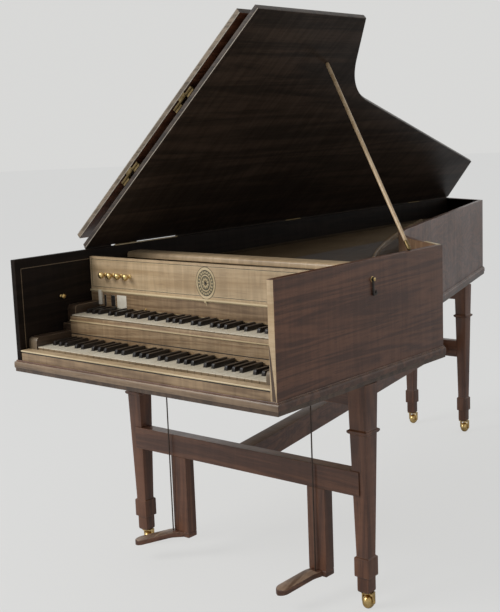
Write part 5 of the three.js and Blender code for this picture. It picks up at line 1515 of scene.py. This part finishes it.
# %% Flap hinges
EAR_BACK, EAR_RADIUS = 291.6, 4.0
lid_ears, flap_ears = bmesh.new(), bmesh.new()
for share in (0.34, 0.67):
    middle = FLAP_LEFT + share * (FLAP_RIGHT - FLAP_LEFT)
    for side, mesh in ((-KNUCKLE_STEP, lid_ears), (0, flap_ears), (KNUCKLE_STEP, lid_ears)):
        a0, a1 = middle + side - HALF_KNUCKLE, middle + side + HALF_KNUCKLE
        knuckle(mesh, on_lid, (a0, FLAP_DEPTH, PIN), (a1, FLAP_DEPTH, PIN), EAR_RADIUS)
        low, high = (15.8, PIN) if mesh is lid_ears else (PIN, FLAP_LOW + 0.2)
        ear = ((FLAP_DEPTH, low), (EAR_BACK, low), (EAR_BACK, high), (FLAP_DEPTH, high))
        rings_to_skin(mesh, [[on_lid(a, y, n) for y, n in ear] for a in (a0, a1)])
    knuckle(lid_ears, on_lid, (middle - HALF_PIN, FLAP_DEPTH, PIN), (middle + HALF_PIN, FLAP_DEPTH, PIN),
            PIN_RADIUS)
place_piece("flap_hinge_fixed", lid_ears, "lid", dull_brass, smooth=40)
place_piece("flap_hinge_moving", flap_ears, "lid_flap", dull_brass, smooth=40)
print("two hinges on the flap")

# %% [markdown]
# The stick is a turned rod with a brass tip at its foot and a rounded head. The hook that holds the closed
# lid hangs from its pin on the cheek; it is dark, and only its pin is bright.

# %% Stick and hook
hook_iron = plain_material("dark_hook", (0.025, 0.022, 0.02), (0.075, 0.065, 0.055), 70.0, (0.4, 0.6),
                           metal=0.6)
HOOK_Y, HOOK_Z, HOOK_INNER, HOOK_OUTER = 400, 884, 942.75, 946.25
foot, head = Vector((932, 592, 940.8)), Vector((574.8, 740, 1447.9))
length = (head - foot).length
mesh = bmesh.new()
shaft = [(0.5, -5.4), (2.4, -4.9), (4.2, -3.5), (5.2, -1.6), (5.5, 0.4), (5.5, 22), (5.0, 24), (4.7, 25)]
turn(mesh, shaft + [(4.6, 25.4), (0.4, 26)], foot, sides=20, direction=head - foot)
place_piece("stick_tip", mesh, "lid_stick", dull_brass, smooth=50)
stick_profile = [(0.4, 24), (4.9, 25.2), (5.1, 28), (5.4, 60)]
stick_profile += [(5.45, 60 + (length - 90) * k / 12) for k in range(1, 13)]
stick_profile += [(5.5, length - 18), (5.5, length - 1), (5.2, length + 1.6), (4.2, length + 3.5),
                  (2.4, length + 4.9),
                  (0.4, length + 5.45)]
mesh = bmesh.new()
turn(mesh, stick_profile, foot, sides=20, direction=head - foot)
place_piece("stick_turned", mesh, "lid_stick", stick_wood, smooth=50, stands_for="lid_stick")
mesh = bmesh.new()
turn(mesh, [(0.1, -0.4), (2.4, -0.4), (2.4, 7.0), (5.0, 7.0), (4.8, 8.0), (3.4, 8.8), (1.4, 9.0), (0.1, 9.0)],
     (WIDTH, HOOK_Y, HOOK_Z), "x", 18)
turn(mesh, [(0.1, -0.4), (7.5, -0.4), (7.5, 0.6), (6.8, 1.1), (3.0, 1.2), (0.1, 1.2)],
     (WIDTH, HOOK_Y, HOOK_Z),
     "x", 20)
place_piece("hook_pin", mesh, "case", brass, smooth=40)
mesh = bmesh.new()
bar_outline = [(397.5, 879), (397.5, 845.5), (398.6, 843.2), (401.0, 842.0), (411.0, 842.0), (413.4, 843.2),
               (414.5, 845.5),
               (414.5, 853.0), (413.4, 854.0), (410.6, 854.0), (409.5, 853.0), (409.5, 848.0), (408.5, 847.0),
               (403.5, 847.0), (402.5, 848.0), (402.5, 879)]
raise_outline(mesh, bar_outline, HOOK_INNER, HOOK_OUTER, SIDE)
ease(mesh, 0.7, 2, 45)
eye = ((HOOK_INNER, 2.9), (HOOK_INNER, 5.6), (943.2, 6.0), (945.8, 6.0), (HOOK_OUTER, 5.6), (HOOK_OUTER, 2.9))
rings_to_skin(mesh, [[at(x, HOOK_Y + r * math.cos(math.tau * k / 24),
                         HOOK_Z + r * math.sin(math.tau * k / 24))
                      for k in range(24)] for x, r in eye], caps=False)
place_piece("hook_forged", mesh, "lid_hook", hook_iron, smooth=40, stands_for="lid_hook")
print("stick", round(length + 11), "mm long")

# %% [markdown]
# A leg is square all the way down, so its skin is a stack of square rings: a straight taper, a moulded
# collar, a block foot and a smaller end. The corners of every ring are rounded, which gives soft arrises.

# %% Legs
LEG_TOP, ANKLE = UNDERSIDE - GAP, 152.0
FRONT_LEFT_X, FRONT_RIGHT_X, FRONT_Y, FRONT_SQUARE = 96, 919, 377, 57
REAR_LEFT_X, REAR_RIGHT_X, REAR_Y, REAR_SQUARE = 64, 310, 2006, 50
LEGS = {
    "front_left": (FRONT_LEFT_X, FRONT_Y, FRONT_SQUARE),
    "front_right": (FRONT_RIGHT_X, FRONT_Y, FRONT_SQUARE),
    "rear_left": (REAR_LEFT_X, REAR_Y, REAR_SQUARE), "rear_right": (REAR_RIGHT_X, REAR_Y, REAR_SQUARE),
}


def leg_width(top_width, z):
    ankle = top_width * 0.65
    return ankle + (top_width - ankle) * (z - ANKLE) / (LEG_TOP - ANKLE)


def square_ring(x, y, z, width, corner):
    half, points = width / 2, []
    for sx, sy, start in ((1, -1, -90), (1, 1, 0), (-1, 1, 90), (-1, -1, 180)):
        cx, cy = x + sx * (half - corner), y + sy * (half - corner)
        points += [at(px, py, z) for px, py in arc(cx, cy, corner, start, start + 90, 3)]
    return points


def leg_profile(top_width):
    """(height, width) from the floor end up: a small end, a block foot, the taper and its collar."""
    w = lambda z: leg_width(top_width, z)
    block, end = top_width * 0.81, top_width * 0.63
    foot = [(50, end - 8), (51.2, end - 3.6), (53.6, end - 0.8), (56, end), (94, end), (94.6, end + 2),
            (95, block - 1.6), (96.2, block - 0.2), (98, block), (145, block), (147.2, block - 0.8),
            (148, block - 3), (149.4, w(152) + 1.6)]
    collar = [(484, w(484) + 1.6), (484.8, w(484) + 5.6), (486, w(484) + 8.4), (487, w(484) + 8.8),
              (487.8, w(484) + 11.2), (489.6, w(489) + 12.0), (492.2, w(492) + 12.0), (493.8, w(494) + 10.4),
              (494.4, w(494) + 7.2), (495.2, w(495) + 4.0), (496.4, w(496) + 1.0), (497.5, w(497.5))]
    return [*foot, (ANKLE, w(ANKLE)), (300, w(300)), (483, w(483)), *collar, (LEG_TOP - 2, w(LEG_TOP)),
            (LEG_TOP, w(LEG_TOP) - 0.4)]


for place, (x, y, top_width) in LEGS.items():
    mesh = bmesh.new()
    rings_to_skin(mesh, [square_ring(x, y, z, width, 1.8) for z, width in leg_profile(top_width)])
    place_piece(f"{place}_leg_turned_out", mesh, "case", case_wood_up, smooth=28,
                stands_for=f"{place}_leg")
print("front legs taper from", FRONT_SQUARE, "to", round(leg_width(FRONT_SQUARE, ANKLE), 1), "mm")

# %% [markdown]
# Stretchers tie the legs in the shape of an H. The front one is housed over the legs and stands a little
# proud of them; the long one runs askew between it and the rear one, at the same height. Under the case a
# top rail joins each pair of legs.

# %% Stretchers and top rails
STRETCHER_LOW, STRETCHER_HIGH, RAIL_ARRIS, TOP_RAIL_DEPTH = 318.0, 384.0, 1.6, 60
FRONT_STRETCHER_FACE, FRONT_STRETCHER_BACK = 350, 389


def rail(name, outline, low, high, material):
    mesh = bmesh.new()
    raise_outline(mesh, outline, low, high)
    ease(mesh, RAIL_ARRIS, 3)
    place_piece(f"{name}_eased", mesh, "case", material, stands_for=name)


def housed(left, right, face, rear, y_leg, half):
    """A rail's plan that passes in front of the leg at each end and has a square notch round its corner."""
    notch = y_leg - half
    return [(left, face), (right, face), (right, notch), (right - half, notch), (right - half, rear),
            (left + half, rear), (left + half, notch), (left, notch)]


half_front = leg_width(FRONT_SQUARE, STRETCHER_HIGH) / 2 + GAP
front_plan = housed(FRONT_LEFT_X, FRONT_RIGHT_X, FRONT_STRETCHER_FACE, FRONT_STRETCHER_BACK, FRONT_Y,
                    half_front)
rail("front_stretcher", front_plan, STRETCHER_LOW, STRETCHER_HIGH, case_wood_across)
half_rear = leg_width(REAR_SQUARE, STRETCHER_HIGH) / 2 + GAP
rail("rear_stretcher", rectangle(REAR_LEFT_X + half_rear, REAR_RIGHT_X - half_rear, 1989, 2023),
     STRETCHER_LOW,
     STRETCHER_HIGH, case_wood_across)
start, stop = Vector((507.5, FRONT_STRETCHER_BACK + GAP)), Vector((187, 1989 - GAP))
HALF_LONG = 24
slant = HALF_LONG / (stop - start).normalized().y
rail("long_stretcher", [(start.x - slant, start.y), (start.x + slant, start.y), (stop.x + slant, stop.y),
                        (stop.x - slant, stop.y)], STRETCHER_LOW, STRETCHER_HIGH, case_wood)
half_front = leg_width(FRONT_SQUARE, LEG_TOP) / 2 + GAP
half_rear = leg_width(REAR_SQUARE, LEG_TOP) / 2 + GAP
rail("front_top_rail", rectangle(FRONT_LEFT_X + half_front, FRONT_RIGHT_X - half_front, 359, 395),
     LEG_TOP - TOP_RAIL_DEPTH, LEG_TOP, case_wood_across)
rail("rear_top_rail", rectangle(REAR_LEFT_X + half_rear, REAR_RIGHT_X - half_rear, 1988, 2024),
     LEG_TOP - TOP_RAIL_DEPTH, LEG_TOP, case_wood_across)
print("stretchers between", STRETCHER_LOW, "and", STRETCHER_HIGH, "mm")

# %% [markdown]
# Two boards hang from the front stretcher and carry the pedals. A pedal is shaped like the sole of a shoe:
# flat under its board, sloping down to a rounded toe whose top is worn pale by feet. A thin iron rod rises
# from each into the case.

# %% Pedals
PEDALS = {"left": (272.5, 246.0, 45), "right": (779.0, 777.0, 14)}
HALF_BOARD, BOARD_BACK, BOARD_FOOT = 29, 386, 86.3
PEDAL_LENGTH, PEDAL_STEPS, PEDAL_THICK, PEDAL_Y, ROD_Y = 153, 26, 15.6, 368, 342
for side, (x, rod_x, splay) in PEDALS.items():
    board_plan = rectangle(x - HALF_BOARD, x + HALF_BOARD, FRONT_STRETCHER_FACE, BOARD_BACK)
    mesh = bmesh.new()
    raise_outline(mesh, board_plan, BOARD_FOOT, STRETCHER_LOW - GAP)
    ease(mesh, 1.5, 3)
    place_piece(f"{side}_pedal_board_eased", mesh, "case", case_wood_up,
                stands_for=f"{side}_pedal_board")
    mesh = bmesh.new()
    raise_outline(mesh, board_plan, 70, 86)
    ease(mesh, 2.0, 3)
    c, s = math.cos(math.radians(splay)), math.sin(math.radians(splay))
    rings = []
    for step in range(PEDAL_STEPS + 1):
        reach = PEDAL_LENGTH * (1 - (1 - step / PEDAL_STEPS) ** 1.8)
        width = max(21 * math.sqrt(max(1 - max(0.0, 1 - (PEDAL_LENGTH - reach) / 22) ** 2, 0)), 2.5)
        top = 85.8 - 20 * max(0.0, (reach - 44) / 109)
        low, r = top - PEDAL_THICK, min(3.0, width * 0.5)
        ring = [(-width, low + r), (-width + r * 0.3, low + r * 0.3), (-width + r, low), (width - r, low),
                (width - r * 0.3, low + r * 0.3), (width, low + r), (width, top - r),
                (width - r * 0.3, top - r * 0.3), (width - r, top), (-width + r, top),
                (-width + r * 0.3, top - r * 0.3), (-width, top - r)]
        rings.append([at(x + w * c - reach * s, PEDAL_Y - w * s - reach * c, z) for w, z in ring])
    rings_to_skin(mesh, rings)
    mesh.normal_update()
    for face in mesh.faces:
        if face.normal.z > 0.8 and face.calc_center_median().y < at(0, 340, 0).y:
            face.material_index = 1
    place_piece(f"{side}_pedal_shaped", mesh, f"{side}_pedal", [case_wood, trodden_wood],
                smooth=40,
                stands_for=f"{side}_pedal")
    mesh = bmesh.new()
    turn(mesh, [(0.2, 86.5), (1.7, 86.7), (2.0, 87.2), (2.0, 643.3), (1.7, 643.9), (0.2, 644)],
         (rod_x, ROD_Y, 0), sides=12)
    place_piece(f"{side}_rod_drawn", mesh, f"{side}_pedal_rod", rod_iron, smooth=50,
                stands_for=f"{side}_pedal_rod")
print("the right pedal reaches", round(PEDAL_LENGTH * math.cos(math.radians(PEDALS["right"][2]))),
      "mm forward")

# %% [markdown]
# The casters are a brass plate and horn that swivel under the leg, and a wheel with a crowned tread like a
# flattened ball.

# %% Casters
TRAIL, AXLE_Z, HORN_TOP = 8, 20, 46.3
for place, (x, y, _) in LEGS.items():
    axle_y = y + TRAIL
    mesh = bmesh.new()
    turn(mesh, [(0.2, 46.2), (14.2, 46.2), (15.0, 46.8), (15.0, 49.1), (14.4, 49.7), (0.2, 49.7)], (x, y, 0),
         sides=28)
    for side in (-1, 1):
        inner, outer = x + side * 15.0, x + side * 18.5
        cheek = [(axle_y - 5, HORN_TOP), (axle_y - 5, 22), *arc(axle_y, AXLE_Z, 5, 180, 360, 10)[1:-1],
                 (axle_y + 5, 22), (axle_y + 5, HORN_TOP)]
        raise_outline(mesh, cheek, min(inner, outer), max(inner, outer), SIDE)
        turn(mesh, [(0.2, 0), (3.6, 0), (3.2, 1.2 * side), (1.6, 1.8 * side), (0.2, 1.9 * side)],
             (outer - 0.1 * side, axle_y, AXLE_Z), "x", 14)
    raise_outline(mesh, rectangle(x - 18.5, x + 18.5, y - 7.5, axle_y + 5), 46.0, 49.4)
    turn(mesh, [(0.2, -15.2), (3.0, -15.2), (3.0, 15.2), (0.2, 15.2)], (x, axle_y, AXLE_Z), "x", 14)
    place_piece(f"{place}_horn_cast", mesh, f"{place}_caster_horn", brass, smooth=40,
                stands_for=f"{place}_caster_horn")
    mesh = bmesh.new()
    half_tread = [(14, 3.4), (14, 7.4), (13.1, 10.4), (11.6, 13.4), (9.4, 16.0), (6.6, 18.2), (3.4, 19.6)]
    tread = [(-h, r) for h, r in half_tread] + [(0, 20.0)] + half_tread[::-1]
    rings_to_skin(mesh, [[at(x + h, axle_y + r * math.cos(math.tau * k / 32),
                             AXLE_Z + r * math.sin(math.tau * k / 32)) for k in range(32)] for h, r in tread],
                  caps=False)
    place_piece(f"{place}_wheel_turned", mesh, f"{place}_caster_wheel", brass, smooth=50,
                stands_for=f"{place}_caster_wheel")
print("four casters")

# %% [markdown]
# The CAD solids whose shape is already right stay as they are and only get a material: pine for the bottom,
# the belly rail and the liner, spruce darkened as painted shade for the soundboard and pearwood for the two
# registers.

# %% Finish of the carried-over solids
carried = {
    "bottom_board": pine_wood, "belly_rail": pine_wood, "soundboard_liner": pine_wood,
    "soundboard": painted_shade_spruce,
    "lower_register": pear_wood, "upper_register": pear_wood,
}
for name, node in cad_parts.items():
    if node.hide_render:
        continue
    material = carried.get(name, case_wood_up)
    node.data.materials.clear()
    node.data.materials.append(material)
shown = sorted(n for n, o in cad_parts.items() if not o.hide_render)
print(len(shown), "CAD solids shown:", shown)
